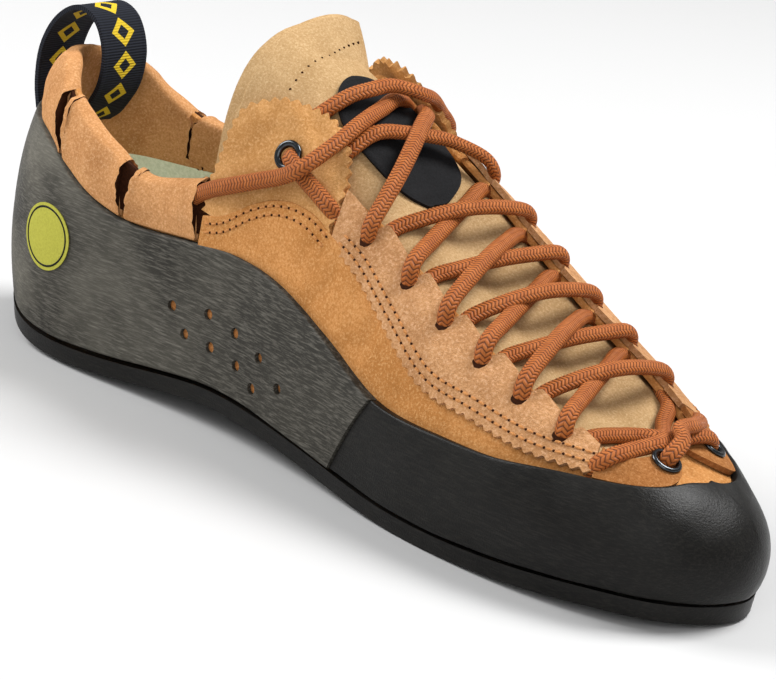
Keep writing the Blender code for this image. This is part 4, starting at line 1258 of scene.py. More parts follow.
        disc = cut_panel(outline, place, 0.0008, (SECTION_RUN, self.rise), 0.0001)
        finish_piece("heel_print", disc, [self.coats.print_green])
        t, s = self.circle(BADGE_RADIUS - 0.0011, 97)
        points = layer(t, s, RAND_OUT + 0.00036 + 0 * t, False)
        points[-1] = points[0]
        flat = np.full(len(points), 0.00028)
        ring = tube(points, LAST.normal(t, s), flat, flat * 0.5, 8)
        finish_piece("heel_print_ring", ring, [self.coats.print_dark])

    def build(self) -> None:
        """All the rubber."""
        self.outsole()
        self.heel_rand()
        self.toe_rand()
        self.heel_strip()
        self.vents()
        self.badge()


@dataclass
class SuedeWork:
    """The suede body with its flaps, quarters, eyestays, toe tabs and stitching."""

    coats: Coats
    stitches: Stitching
    cell: float = 0.0011
    band_cover: float = 0.012  # s that the collar band reaches above the body's edge
    flap_cover: float = 0.030  # s that the flaps reach above it
    turn: tuple[float, float] = (6.40, 0.30)  # where the quarter goes from the flap's edge to the eyestay's
    fall: tuple[float, float] = (6.3, 1.9)  # where the quarter sinks into the body

    def top_edge(self, t: Grid) -> Grid:
        """The s of the body's upper edge round the collar, flaps and throat."""
        size = np.abs(t)
        flap = along(FLAP, t) - self.flap_cover
        value = np.where(size < COLLAR[-1][0], along(COLLAR, t) - self.band_cover, flap)
        blend = np.clip((size - THROAT_FROM) / THROAT_BLEND, 0, 1)
        return np.where(size < THROAT_FROM, value, flap * (1 - blend) + throat_edge(t) * blend)

    def body(self) -> None:
        """The hollow upper, open at the collar, along the throat and underneath."""
        t = np.linspace(0, 2 * TOE, 561)
        signed = np.where(t > TOE, t - 2 * TOE, t)
        s = self.top_edge(signed)[:, None] * crowded(44, 0.2, 0.8)
        grid_t = np.broadcast_to(signed[:, None], s.shape)
        share = s / s[:, -1:]
        round_off = rim(0.5 + share / 2, 0.14, 0.0007)
        outer = layer(grid_t, s, SUEDE * (0.6 + 0.4 * round_off))
        inner = layer(grid_t, s, SUEDE * 0.3 * (1 - round_off))
        outer[-1], inner[-1] = outer[0], inner[0]
        shell = solid_grid(outer, inner, True)
        finish_piece("suede_body", shell, [self.coats.quarter], ("upper",))

    def lean(self, side: Side, s: Grid) -> Grid:
        """How far a flap stands off the last at a height s."""
        reach = FLAP_FLARE[0] if side is Side.MEDIAL else FLAP_FLARE[1]
        return reach * np.clip((s - FLARE_FROM) / FLARE_RUN, 0, 1.1) ** 2

    def flap(self, side: Side) -> None:
        """Ankle flap with pinked edges."""
        column = 1 if side is Side.MEDIAL else 2
        trim = 0.0 if side is Side.MEDIAL else 0.06
        near = 0.06 if side is Side.MEDIAL else 0.0
        edge = [
            (row[0] + near * max(0.0, 5.6 - row[0]), row[column] - trim * max(0.0, row[0] - 5.4) - near * 0.2)
            for row in FLAP
        ]
        knots = [(4.66, 0.31), (4.665, 0.37)] + edge + [(6.54, 0.56), (6.52, 0.49)]
        path = smooth_path(knots, 240) * np.array([side.value, 1.0])
        if side is Side.LATERAL:
            path = path[::-1]
        cut = pinked(path[::-1])[::-1]
        low = np.array([(side.value * 6.45, 0.40), (side.value * 5.9, 0.34), (side.value * 5.3, FLAP_LOW)])
        if side is Side.LATERAL:
            low = low[::-1]
        outline = np.concatenate([cut, low])

        def place(t: Grid, s: Grid, level: Grid) -> Grid:
            """Places through the flap's thickness."""
            stand = self.lean(side, s)
            ripple = 0.0004 * np.sin(s * 46 + np.abs(t) * 5) * np.clip((s - 0.5) / 0.15, 0, 1)
            return layer(t, s, OVER_IN + stand + ripple + OVERLAY * level)

        panel = cut_panel(outline, place, self.cell, (0.021, 0.095))
        name = f"flap_{side.label}"
        finish_piece(f"ankle_{name}", panel, [self.coats.flap], (name,))

    def quarter(self, side: Side) -> None:
        """Quarter panel over the foot of the flap, up to its double row of stitches."""
        size = np.linspace(*QUARTER_ENDS, 200)
        t = side.value * size
        low = along(RAND_TOP, t) - 0.02
        turn = eased(np.clip((size - self.turn[0]) / self.turn[1], 0, 1))
        top = (along(QUARTER_TOP, t) + 0.012) * (1 - turn) + (along(EYESTAY_LOW, t) + 0.03) * turn
        s = low[:, None] + (top - low)[:, None] * crowded(40, 0.5, 0.85)
        grid_t = np.broadcast_to(t[:, None], s.shape)
        share = (s - low[:, None]) / (top - low)[:, None]
        fall = eased(np.clip((size - self.fall[0]) / self.fall[1], 0, 1)[:, None])
        foot = eased(np.clip(share / 0.25, 0, 1))
        full = SUEDE + (OVER_OUT + 0.0004 - SUEDE) * (0.35 + 0.65 * foot)
        worn = 0.0006 * (1 - rim(0.5 + share / 2, 0.06, 0.0006))
        face = full * (1 - fall) + (SUEDE - 0.0001) * fall - worn
        outer = layer(grid_t, s, face)
        inner = layer(grid_t, s, face - 0.0009)
        finish_piece(f"quarter_{side.label}", solid_grid(outer, inner), [self.coats.quarter])

    def eyestay(self, side: Side) -> None:
        """Rough suede band along the throat, pinked along its lower edge."""
        size = np.linspace(*STAY_ENDS, 200)
        low = np.stack([side.value * size, along(EYESTAY_LOW, side.value * size)], -1)
        way = -side.value
        pink = pinked(low[::way], depth=0.0009)[::way]
        holes = np.array(LACE_SECTIONS) + 0.10
        knots = np.stack([holes, holes + 0.10], -1).ravel()
        teeth = np.interp(size, np.concatenate([STAY_ENDS[:1], knots]), [0.2] + [1.0, 0.0] * len(holes))
        scoop = 0.0024 * teeth**1.4
        top_t = side.value * size
        high = np.stack([top_t, throat_edge(top_t) + OVER_EDGE], -1)
        band_rise = 0.07
        high[:, 1] -= scoop / band_rise
        outline = np.concatenate([pink, high[::-1]])

        def place(t: Grid, s: Grid, level: Grid) -> Grid:
            """Places through the eyestay's thickness, with a dimple round each lace hole."""
            skin = LAST.point(t, s)
            dimple = np.zeros(len(t))
            for hole_t, hole_s in lace_holes(side):
                away = np.linalg.norm(skin - LAST.point(hole_t, hole_s), axis=1)
                dimple += 0.0007 * np.exp(-((away / 0.0030) ** 2))
            return layer(t, s, OVER_IN + OVERLAY * level - dimple)

        panel = cut_panel(outline, place, self.cell, (SECTION_RUN, band_rise))
        finish_piece(
            f"eyestay_band_{side.label}", panel, [self.coats.eyestay],
            (f"eyestay_{side.label}",))

    def toe_tab(self, side: Side) -> None:
        """Small russet tab with the toe eyelet."""
        size = np.linspace(*TAB_ENDS, 60)
        t = side.value * size
        close = np.clip((size - TAB_CLOSE[0]) / TAB_CLOSE[1], 0, 1)
        ease = 1 - np.sqrt(1 - close**2)
        low = along(RAND_TOP, t) + SEAM_S
        high = np.minimum(throat_edge(t) + OVER_EDGE, 0.90)
        middle = (low + high) / 2
        low_path = np.stack([t, low + (middle - low) * ease], -1)
        high_path = np.stack([t, high - (high - middle) * ease], -1)
        outline = np.concatenate([low_path, high_path[-2::-1]])

        def place(t: Grid, s: Grid, level: Grid) -> Grid:
            """Places through the tab's thickness."""
            return layer(t, s, OVER_IN + OVERLAY * level)

        panel = cut_panel(outline, place, self.cell, (0.018, 0.05))
        name = f"toe_tab_{side.label}"
        finish_piece(f"{name}_suede", panel, [self.coats.tab], (name,))

    def seams(self, side: Side) -> None:
        """Double rows of stitches over quarter and eyestay, and the flap's own rows."""
        t = side.value * np.linspace(4.74, 6.56, 90)
        arc = np.stack([t, along(QUARTER_TOP, t) - 0.004], -1)
        runs = [(shifted(arc, -side.value * d), OVER_OUT + 0.00045) for d in (0.0, 0.0022)]
        size = np.linspace(6.72, 10.50, 150)
        t = side.value * size
        band = np.stack([t, along(EYESTAY_LOW, t)], -1)
        runs += [(shifted(band, side.value * d), OVER_OUT + 0.0001) for d in (0.0026, 0.0048)]
        self.stitches.sew(f"stitches_{side.label}", runs, "suede")

    def build(self) -> None:
        """All the suede of the body."""
        self.body()
        for side in Side:
            self.flap(side)
            self.quarter(side)
            self.eyestay(side)
            self.toe_tab(side)
            self.seams(side)


def lace_holes(side: Side) -> list[tuple[float, float]]:
    """The six lace holes of one side as (t, s)."""
    t = side.value * np.array(LACE_SECTIONS)
    shift = OUTER_SHIFT if side is Side.LATERAL else 0.0
    return list(zip(t, LAST.inset(t, THROAT_HALF + LACE_INSET - shift)))


@dataclass
class CollarWork:
    """The folded collar band with its slots, and the pull loop."""

    coats: Coats
    spacing: float = 0.0006
    foot: float = 0.252  # s of the fold's seam inside the shoe
    slot_lean: float = 0.28  # sections that the rear slots lean back towards their tops
    around: int = 72  # faces round the band's section

    def lean(self, t: Grid) -> Grid:
        """How far the band's top is drawn towards the heel, in signed sections."""
        size = np.abs(t)
        reach = np.clip(1 - np.abs(size - SLOTS[0]) / 1.1, 0, 1)
        return np.sign(t) * self.slot_lean * reach

    def slot_shadow(self) -> None:
        """Dark strips behind the slots, where the tunnel of the lace shows."""
        parts = []
        for side in Side:
            for slot in SLOTS:
                middle = side.value * (slot + (0.02 if slot == SLOTS[2] else 0.0))
                down = np.linspace(0.02, 0.90, 24)
                t = middle + side.value * np.linspace(-0.13, 0.11, 9)
                low = along(RAND_TOP, t) + SEAM_S
                top = along(COLLAR, np.clip(t, -COLLAR[-1][0], COLLAR[-1][0]))
                s = top[:, None] + (low - top)[:, None] * down[::-1]
                grid_t = t[:, None] - self.lean(t)[:, None] * (1 - down[::-1])
                face = layer(grid_t, s, SUEDE + 0.0008 + 0 * s)
                back = layer(grid_t, s, SUEDE - 0.0004 + 0 * s)
                parts.append(solid_grid(face, back))
        finish_piece("collar_tunnel_shade", join(parts), [self.coats.painted_shade])

    def band(self, name: str, start: float, end: float, nodes: tuple[str, ...]) -> None:
        """One stretch of the folded band, rounded over its top edge and hollow at its cut ends.

        Args:
            name: the piece's name.
            start: signed section where it starts.
            end: signed section where it ends.
            nodes: nodes of the frame that it replaces.
        """
        count = max(24, round(abs(end - start) * SECTION_RUN / self.spacing))
        t = start + (end - start) * crowded(count, 0.5, 0.5)
        low = along(RAND_TOP, t) + SEAM_S
        top = along(COLLAR, t)
        profile = smooth_path((
            (1.00, 0.0, OVER_IN + 0.0002), (1.00, 0.0, OVER_IN + 0.0012), (0.86, 0.0, BAND_OUT - 0.0009),
            (0.62, 0.0, BAND_OUT), (0.35, 0.0, BAND_OUT + 0.0001), (0.10, 0.0, BAND_OUT - 0.0006),
            (0.00, 0.0, 0.0028), (-0.02, -0.03, 0.0010), (0.00, 0.02, -0.0007), (0.0, 0.25, -0.0014),
            (0.0, 0.60, -0.0015), (0.0, 1.00, -0.0012), (0.0, 1.00, -0.0004), (0.0, 0.50, -0.0002),
            (0.0, 0.04, 0.0000), (0.0, 0.03, SUEDE), (0.35, 0.0, OVER_IN - 0.0001),
            (1.00, 0.0, OVER_IN + 0.0002),
        ), self.around + 1)
        down, inward, height = profile.T
        s = top[:, None] + (low - top)[:, None] * down + (self.foot - top)[:, None] * inward
        face = np.clip((height - OVER_IN) / (BAND_OUT - OVER_IN), 0, 1)
        high_up = np.clip(1 - down, 0, 1)
        lips = [np.exp(-(((t - place) * SECTION_RUN / 0.0022) ** 2))[:, None] for place in (start, end)]
        lump = 0.0003 * np.sin(t * 9.0)[:, None] + 0.0007 * (lips[0] + lips[1])
        tear = 0.010 * np.sin(down * 19.0 + inward * 23.0) + 0.007 * np.sin(down * 41.0 + start)
        opening = 0.045 * np.clip((high_up - 0.15) / 0.5, 0, 1) * (inward < 0.05)
        inwards = math.copysign(1.0, end - start)
        grid_t = t[:, None] + inwards * (tear + opening) * (lips[0] - lips[1])
        lean = self.lean(t)[:, None]
        grid_t = grid_t - lean * high_up * (inward < 0.9)
        ring = layer(grid_t, s, height + lump * face)
        ring[:, -1] = ring[:, 0]
        bm = bmesh.new()
        bmesh.ops.create_grid(bm, x_segments=count - 1, y_segments=self.around, size=0.5)
        table = ring.tolist()
        for vert in bm.verts:
            row, column = round((vert.co.x + 0.5) * (count - 1)), round((vert.co.y + 0.5) * self.around)
            vert.co = table[row][column]
        bmesh.ops.remove_doubles(bm, verts=bm.verts, dist=WELD)
        rims = [edge for edge in bm.edges if edge.is_boundary]
        caps = bmesh.ops.holes_fill(bm, edges=rims, sides=self.around + 8)["faces"]
        bmesh.ops.recalc_face_normals(bm, faces=bm.faces)
        # Each cut end is sunk and coloured with the painted shade.
        for cap in caps:
            deep = -cap.normal * 0.0012
            bmesh.ops.inset_region(bm, faces=[cap], thickness=0.00035, use_even_offset=False)
            bmesh.ops.translate(bm, verts=cap.verts, vec=deep)
            cap.material_index = 1
        finish_piece(name, bm, [self.coats.collar, self.coats.painted_shade], nodes, 50.0)

    def pull_loop(self) -> None:
        """Ring of woven tape, sewn on outside and inside the heel."""
        line = smooth_path(LOOP_PATH, 150)
        path = LAST.skin(np.zeros(len(line)), line[:, 0], line[:, 1])
        path[:, 1] = 0.0
        run = unit(np.gradient(path, axis=0))
        out = np.stack([-run[:, 2], 0 * run[:, 0], run[:, 0]], 1)
        across = (2 * crowded(25, 0.6, 0.6) - 1) * LOOP_WIDTH / 2
        edge = 0.0002 * (np.abs(across) > LOOP_WIDTH * 0.42)
        side = np.array([0.0, 1.0, 0.0])
        grids = []
        for height in (0.0, WEBBING):
            face = path[:, None] + side * across[None, :, None]
            sign = 1.0 if height else -1.0
            face = face + out[:, None] * (height + sign * 0.5 * edge[None, :, None] - sign * 0.0001)
            grids.append(face)
        chart = np.stack(np.broadcast_arrays(travelled(path)[:, None], across[None, :]), -1)
        bm = solid_grid(grids[1], grids[0], chart=chart)
        finish_piece("heel_pull_loop", bm, [self.coats.webbing], ("pull_loop",))

    def build(self) -> None:
        """The collar band and the loop."""
        first, second, third = SLOTS
        self.band("heel_tab_band", -first + SLOT_HALF, first - SLOT_HALF, ("heel_tab",))
        for side in Side:
            sign = side.value
            self.band(
                f"collar_rear_{side.label}_band", sign * (first + SLOT_HALF), sign * (second - SLOT_HALF),
                (f"collar_rear_{side.label}",))
            self.band(
                f"collar_front_{side.label}_band", sign * (second + SLOT_HALF), sign * third,
                (f"collar_front_{side.label}",))
        self.slot_shadow()
        self.pull_loop()


@dataclass
class TongueWork:
    """The beige tongue and the plain black patch on it."""

    coats: Coats
    stitches: Stitching

    def reach(self, t: Grid, share: Grid) -> Grid:
        """Half width of the tongue in plan."""
        start, run, depth = TONGUE_TAPER
        below = np.clip((t - TONGUE_FREE) / TONGUE_SPREAD, 0, 1)
        top = np.where(share < 0, TONGUE_TOP[0] + 0.0065, TONGUE_TOP[1])
        return top + (THROAT_HALF + TONGUE_EDGE - top) * below - depth * np.clip((t - start) / run, 0, 1)

    def lift(self, t: Grid, share: Grid) -> Grid:
        """How far the tongue stands off the last."""
        free = np.clip((TONGUE_FREE - t) / (TONGUE_FREE - TONGUE_ENDS[0]), 0, 1)
        return TONGUE_TWIST * np.clip((share - TWIST_FROM) / (1 - TWIST_FROM), 0, 1) * free

    def over(self, t: Grid, share: Grid, reach: Grid) -> tuple[Grid, Grid]:
        """The signed t and the s of places across the ridge."""
        signed = np.where(share <= 0, 1.0, -1.0) * t
        edge = LAST.inset(signed, reach)
        return signed, 1 - (1 - edge) * np.abs(share)

    def tongue(self) -> None:
        """Suede tongue under the lacing, standing up out of the collar."""
        t = TONGUE_ENDS[0] + (TONGUE_ENDS[1] - TONGUE_ENDS[0]) * crowded(190, 0.7, 0.0)
        share = 2 * crowded(72, 0.7, 0.7) - 1
        grid_t, grid_share = np.meshgrid(t, share, indexing="ij")
        top = -0.15 * np.exp(-(((grid_share + 0.45) / 0.55) ** 2)) - 0.12 * np.clip(grid_share, 0, 1)
        grid_t = grid_t + top * np.clip((5.6 - grid_t) / 1.0, 0, 1)
        signed, s = self.over(grid_t, grid_share, self.reach(grid_t, grid_share))
        corner = 0.05 * np.clip(np.abs(grid_share) - 0.55, 0, 1) ** 2 * np.clip((5.3 - grid_t) / 0.7, 0, 1)
        s = s + corner * (grid_share < 0)
        swell = 0.0005 * np.sin(grid_t * 2.6 + 1.0) * np.cos(grid_share * 2.2)
        face = self.lift(grid_t, grid_share) - TONGUE_DEPTH + swell * 0.5 - sunk(signed, s)
        width = np.full(s.shape, 0.05)
        edges = rim((grid_share + 1) / 2, width, 0.0008)
        ends = rim((grid_t - t[0]) / (t[-1] - t[0]), 0.17 + 0 * s, 0.0008)
        inset = TONGUE * 0.4 * (1 - np.minimum(edges, ends))
        outer = LAST.skin(signed, s, face - inset)
        inner = LAST.skin(signed, s, face - TONGUE + inset)
        sheet = solid_grid(outer, inner)
        finish_piece("tongue_suede", sheet, [self.coats.tongue], ("tongue",))

    def patch(self) -> None:
        """Rounded black cloth patch with a raised edge."""
        angle = np.linspace(0, 2 * math.pi, 121)[:-1]
        middle, half = sum(PATCH_ENDS) / 2, (PATCH_ENDS[1] - PATCH_ENDS[0]) / 2
        order = 2.5  # 2 makes the patch an ellipse, more makes it squarer

        def bent(value: Grid) -> Grid:
            """Rounds a circle's coordinate towards a square."""
            return np.sign(value) * np.abs(value) ** (2 / order)

        nose = 0.09 * np.exp(-((np.sin(angle) / 0.35) ** 2)) * (np.cos(angle) > 0)
        outline = np.stack([middle + half * bent(np.cos(angle)) + nose, bent(np.sin(angle))], -1)[::-1]

        def place(t: Grid, share: Grid, level: Grid) -> Grid:
            """Places through the patch's thickness, with its sewn border."""
            signed, s = self.over(t, share, np.full(t.shape, PATCH_HALF))
            radius = (np.abs((t - middle) / half) ** order + np.abs(share) ** order) ** (1 / order)
            border = 0.00035 * np.exp(-(((radius - 0.94) / 0.05) ** 2))
            lift = self.lift(t, share * PATCH_HALF / self.reach(t, share))
            back = lift - TONGUE_DEPTH + GAP - sunk(signed, s)
            return LAST.skin(signed, s, back + (PATCH + border) * level)

        panel = cut_panel(outline, place, 0.0008, (0.021, PATCH_HALF), 0.0002)
        finish_piece("tongue_cloth_patch", panel, [self.coats.cloth], ("tongue_patch",))

    def stitch_row(self) -> None:
        """A row of stitch holes below the tongue's top edge, as dark beads of painted shade."""
        bm = bmesh.new()
        share = np.concatenate([np.linspace(-0.74, 0.0, 14), np.linspace(0.14, 0.80, 6)])
        t = 5.24 + 0.16 * np.minimum(share, 0) - 0.36 * np.maximum(share, 0)
        signed, s = self.over(t, share, self.reach(t, share))
        height = self.lift(t, share) - TONGUE_DEPTH - sunk(signed, s)
        for spot, normal in zip(LAST.skin(signed, s, height), LAST.normal(signed, s)):
            add_bead(bm, seated(spot, normal), (0.00038, 0.00038, 0.0004), 10, 6)
        finish_piece("tongue_needle_holes", bm, [self.coats.painted_shade])

    def build(self) -> None:
        """The tongue and its patch."""
        self.tongue()
        self.stitch_row()
        self.patch()


@dataclass
class LaceWork:
    """The lace, from the collar band through the eyelets and holes to the toe, with its eyelets."""

    coats: Coats
    wide: float = 0.0022
    thick: float = 0.0016
    spacing: float = 0.0007

    def route(self, knots: list[tuple[float, float, float]], name: str) -> bmesh.types.BMesh:
        """A stretch of lace.

        Args:
            knots: rows of signed section, s and height.
            name: says in the log which stretch this is.

        Returns:
            The stretch as a tube.
        """
        t, s, height = np.array(knots).T
        return self.lay(LAST.skin(t, s, height - sunk(t, s)), LAST.normal(t, s), name)

    def lay(self, places: Grid, normals: Grid, name: str) -> bmesh.types.BMesh:
        """Tube of lace through places, with its flat side along the normals."""
        steps = np.sqrt(np.linalg.norm(np.diff(places, axis=0), axis=1))
        run = np.concatenate([[0.0], np.cumsum(steps)])
        rows = smooth_path(np.concatenate([places, normals], axis=1), 260, run)
        rows = at_rows(rows, even(rows[:, :3], self.spacing))
        for _ in range(6):
            rows[1:-1] = (rows[:-2] + rows[1:-1] * 2 + rows[2:]) / 4
        places, normals = rows[:, :3], rows[:, 3:]
        ones = np.ones(len(places))
        LOG.info("lace %s: %.0f mm", name, 1000 * np.linalg.norm(np.diff(places, axis=0), axis=1).sum())
        return tube(places, normals, ones * self.wide, ones * self.thick, 20)

    def end(self, place: tuple, hole: bool) -> tuple[Grid, Grid]:
        """Places and normals of a strand's first stretch, out of a hole or from under the throat's edge."""
        if hole:
            rows = (
                (1.02, -0.0012), (0.985, OVER_OUT - 0.0006), (0.93, OVER_OUT + 0.0008),
                (0.86, OVER_OUT + 0.0014),
            )
        else:
            rows = ((1.06, 0.0004), (0.96, 0.0002), (0.86, -0.0002))
        share, height = np.array(rows).T
        t = np.full(len(share), place[0])
        s = 1 - (1 - place[1]) * share
        return LAST.skin(t, s, height), LAST.normal(t, s)

    def crossing(self, start: tuple, end: tuple, start_hole: bool, bow: float) -> tuple[Grid, Grid]:
        """A strand across the tongue, almost straight; a hole is at one end only.

        Args:
            start: (t, s) of its end on the inner side.
            end: (t, s) of its end on the outer side.
            start_hole: whether the hole is at the start.
            bow: how far its middle lies above the straight line.

        Returns:
            Its places and their normals.
        """
        first, first_up = self.end(start, start_hole)
        last, last_up = self.end(end, not start_hole)
        up = unit(first_up[-1] + last_up[-1])
        share = np.array([0.25, 0.5, 0.75])[:, None]
        middle = first[-1] + (last[-1] - first[-1]) * share + up * bow * 4 * share * (1 - share)
        places = np.concatenate([first, middle, last[::-1]])
        return places, np.concatenate([first_up, up + 0 * middle, last_up[::-1]])

    def strands(self) -> list[bmesh.types.BMesh]:
        """Every stretch of the lace that shows."""
        inner, outer = lace_holes(Side.MEDIAL), lace_holes(Side.LATERAL)
        shift = 0.15
        runs = []
        for k in range(5):
            low, high = (0.0020, 0.0042) if k % 2 else (0.0044, 0.0014)
            start = (inner[k][0] + shift, inner[k][1] + 0.02)
            runs.append((f"edge_{k}", self.crossing(start, outer[k + 1], False, low)))
            end = (outer[k][0] - shift, outer[k][1] + 0.02)
            runs.append((f"hole_{k + 1}", self.crossing(inner[k + 1], end, True, high)))
        return [self.lay(*places, name) for name, places in runs] + self.ankle() + self.toe()

    def ankle(self) -> list[bmesh.types.BMesh]:
        """The stretches over the flaps and across the top of the tongue."""
        ride = OVER_OUT + self.thick + 0.0002
        over_quarter = ride + 0.0006
        rest = -TONGUE_DEPTH + PATCH + GAP + self.thick
        eyelet = OVER_OUT + 0.0012
        from_eyelet = (
            (5.60, 0.562, -0.0010), (5.70, 0.562, eyelet - 0.0004), (5.82, 0.558, ride - 0.0008),
            (5.96, 0.555, ride - 0.0002), (6.10, 0.553, ride - 0.0002), (6.30, 0.552, ride - 0.0002),
            (6.46, 0.548, ride - 0.0010), (6.60, 0.542, 0.0018), (6.78, 0.535, 0.0004),
        )
        parts = [
            self.route([(side.value * t, s, height) for t, s, height in from_eyelet], f"eyelet_{side.label}")
            for side in Side
        ]
        parts.append(self.route([
            (4.42, 0.320, 0.0028), (4.58, 0.344, 0.0036), (4.80, 0.370, over_quarter - 0.0010),
            (5.04, 0.398, over_quarter), (5.41, 0.452, over_quarter), (5.77, 0.512, over_quarter + 0.0006),
            (6.04, 0.567, ride + 0.0031), (6.17, 0.635, ride + 0.0016), (6.27, 0.713, ride + 0.0002),
            (6.31, 0.788, rest + 0.0026), (6.33, 0.881, rest + 0.0008), (6.33, 0.970, rest),
            (-6.20, 0.940, rest), (-6.10, 0.880, rest - 0.0006), (-5.95, 0.800, rest - 0.0016),
            (-5.85, 0.740, -0.0004),
        ], "collar_near"))
        parts.append(self.route([
            (5.64, 0.690, -0.0004), (5.76, 0.742, rest - 0.0012), (5.88, 0.812, rest - 0.0002),
            (5.98, 0.881, rest + 0.0010), (6.09, 0.940, rest + 0.0024), (-6.16, 0.965, rest + 0.0040),
            (-6.24, 0.905, rest + 0.0046), (-6.22, 0.850, rest + 0.0044), (-6.12, 0.790, ride + 0.0006),
            (-5.98, 0.700, ride + 0.0004), (-5.86, 0.600, ride + 0.0020),
            (-5.60, 0.510, over_quarter + 0.0006), (-5.20, 0.430, over_quarter),
            (-4.90, 0.385, over_quarter - 0.0008), (-4.60, 0.345, 0.0036), (-4.42, 0.325, 0.0028),
        ], "collar_far"))
        inner, outer = lace_holes(Side.MEDIAL)[0], lace_holes(Side.LATERAL)[0]
        parts.append(self.route([
            (6.24, 0.670, 0.0002), (6.36, 0.745, rest - 0.0006), (6.51, 0.859, rest + 0.0002),
            (6.76, 0.980, rest + 0.0020), (-6.82, 0.940, rest + 0.0024), (-6.84, 0.880, rest + 0.0028),
            (-6.92, 0.810, rest + 0.0036), (-7.02, outer[1] + 0.066, ride + 0.0004),
            (-7.07, outer[1] + 0.036, ride - 0.0006), (outer[0], outer[1] + 0.006, OVER_OUT - 0.0006),
            (outer[0], outer[1] - 0.006, -0.0012),
        ], "under_near"))
        parts.append(self.route([
            (inner[0], inner[1] - 0.006, -0.0012), (inner[0], inner[1] + 0.006, OVER_OUT - 0.0006),
            (7.08, 0.605, ride - 0.0006), (7.09, 0.684, ride), (7.05, 0.800, rest + 0.0042),
            (6.92, 0.940, rest + 0.0050), (-6.76, 0.965, rest + 0.0044), (-6.56, 0.905, rest + 0.0030),
            (-6.38, 0.855, rest + 0.0012), (-6.18, 0.800, rest + 0.0002), (-6.02, 0.740, -0.0004),
            (-5.90, 0.690, -0.0010),
        ], "over_near"))
        return parts

    def toe(self) -> list[bmesh.types.BMesh]:
        """The stretches round the front end of the lacing."""
        ride = OVER_OUT + self.thick + 0.0002
        rest = -TONGUE_DEPTH + self.thick
        eyelet = OVER_OUT + 0.0014
        inner, outer = lace_holes(Side.MEDIAL)[5], lace_holes(Side.LATERAL)[5]
        near, far = TOE_EYELETS
        bight = self.route([
            (inner[0] + 0.13, inner[1] + 0.02, 0.0004), (10.42, 0.680, rest - 0.0002), (10.60, 0.780, rest),
            (10.84, 0.880, rest), (11.08, 0.965, rest), (-11.30, 0.965, rest + 0.0004),
            (-11.36, 0.925, rest + 0.0004), (-11.20, 0.870, rest + 0.0002), (-10.86, 0.800, rest),
            (-10.46, 0.700, rest - 0.0002),
            (outer[0] - 0.13, outer[1] + 0.02, 0.0004),
        ], "toe_bight")
        near_strand = self.route([
            (10.50, 0.485, 0.0004), (10.60, 0.520, 0.0030), (10.76, 0.580, ride - 0.0006),
            (10.92, 0.657, ride - 0.0010), (11.14, 0.750, ride - 0.0012), (11.42, 0.835, rest + 0.0040),
            (11.66, 0.930, rest + 0.0044),
            (-11.80, 0.900, rest + 0.0044), (-11.70, 0.830, ride), (-11.62, 0.770, ride + 0.0004),
            (-far[0], far[1] + 0.012, eyelet), (-far[0], far[1], -0.0010),
        ], "toe_near")
        far_strand = self.route([
            (near[0], near[1], -0.0010), (near[0] + 0.02, near[1] + 0.012, eyelet),
            (near[0] + 0.09, 0.812, ride + 0.0008), (11.86, 0.875, ride + 0.0028),
            (-11.86, 0.940, ride + 0.0034), (-11.60, 0.850, ride + 0.0022), (-11.20, 0.750, ride - 0.0004),
            (-10.84, 0.650, ride - 0.0014),
            (-10.62, 0.600, 0.0022), (-10.50, 0.575, 0.0002),
        ], "toe_far")
        return [bight, near_strand, far_strand]

    def seat(self, t: float, s: float, height: float) -> Matrix:
        """Where a small thing stands at a height over the creased suede."""
        return seated(layer(np.array([t]), np.array([s]), np.array([height]))[0], LAST.normal(t, s))

    def holes(self) -> None:
        """Painted shade in the insides of the lace holes."""
        bm = bmesh.new()
        for side in Side:
            for t, s in lace_holes(side):
                add_bead(bm, self.seat(t, s, OVER_OUT - 0.00055), (0.0026, 0.0024, 0.00012), 28, 8)
        finish_piece("lace_hole_shadows", bm, [self.coats.painted_shade])

    def eyelets(self) -> None:
        """The four metal eyelets, each spun from its section."""
        places = {
            "top_medial": TOP_EYELET, "top_lateral": (-TOP_EYELET[0], TOP_EYELET[1]),
            "toe_medial": TOE_EYELETS[0], "toe_lateral": (-TOE_EYELETS[1][0], TOE_EYELETS[1][1]),
        }
        section = (
            (0.0022, -0.0008), (0.0028, -0.0008), (0.0028, 0.0002), (0.0039, 0.0001), (0.0040, 0.0004),
            (0.0038, 0.0008), (0.0034, 0.0010), (0.0028, 0.0009), (0.0024, 0.0006), (0.0022, 0.0001),
        )
        for name, (t, s) in places.items():
            bm = bmesh.new()
            verts = [bm.verts.new((r, 0.0, z)) for r, z in section]
            edges = [bm.edges.new((verts[i], verts[(i + 1) % len(verts)])) for i in range(len(verts))]
            bmesh.ops.spin(
                bm, geom=verts + edges, cent=(0, 0, 0), axis=(0, 0, 1), angle=2 * math.pi, steps=48,
                use_merge=True)
            bmesh.ops.remove_doubles(bm, verts=bm.verts, dist=WELD)
            bmesh.ops.transform(bm, matrix=self.seat(t, s, OVER_OUT), verts=bm.verts)
            bmesh.ops.recalc_face_normals(bm, faces=bm.faces)
            node = f"eyelet_{name}"
            finish_piece(f"metal_{node}", bm, [self.coats.metal], (node,), 60.0)

    def build(self) -> None:
        """The lace, its holes and its eyelets."""
        nodes = ("lace_crossings", "lace_ankle_medial", "lace_ankle_lateral")
        finish_piece("braided_lace", join(self.strands()), [self.coats.lace], nodes, 60.0)
        self.holes()
        self.eyelets()


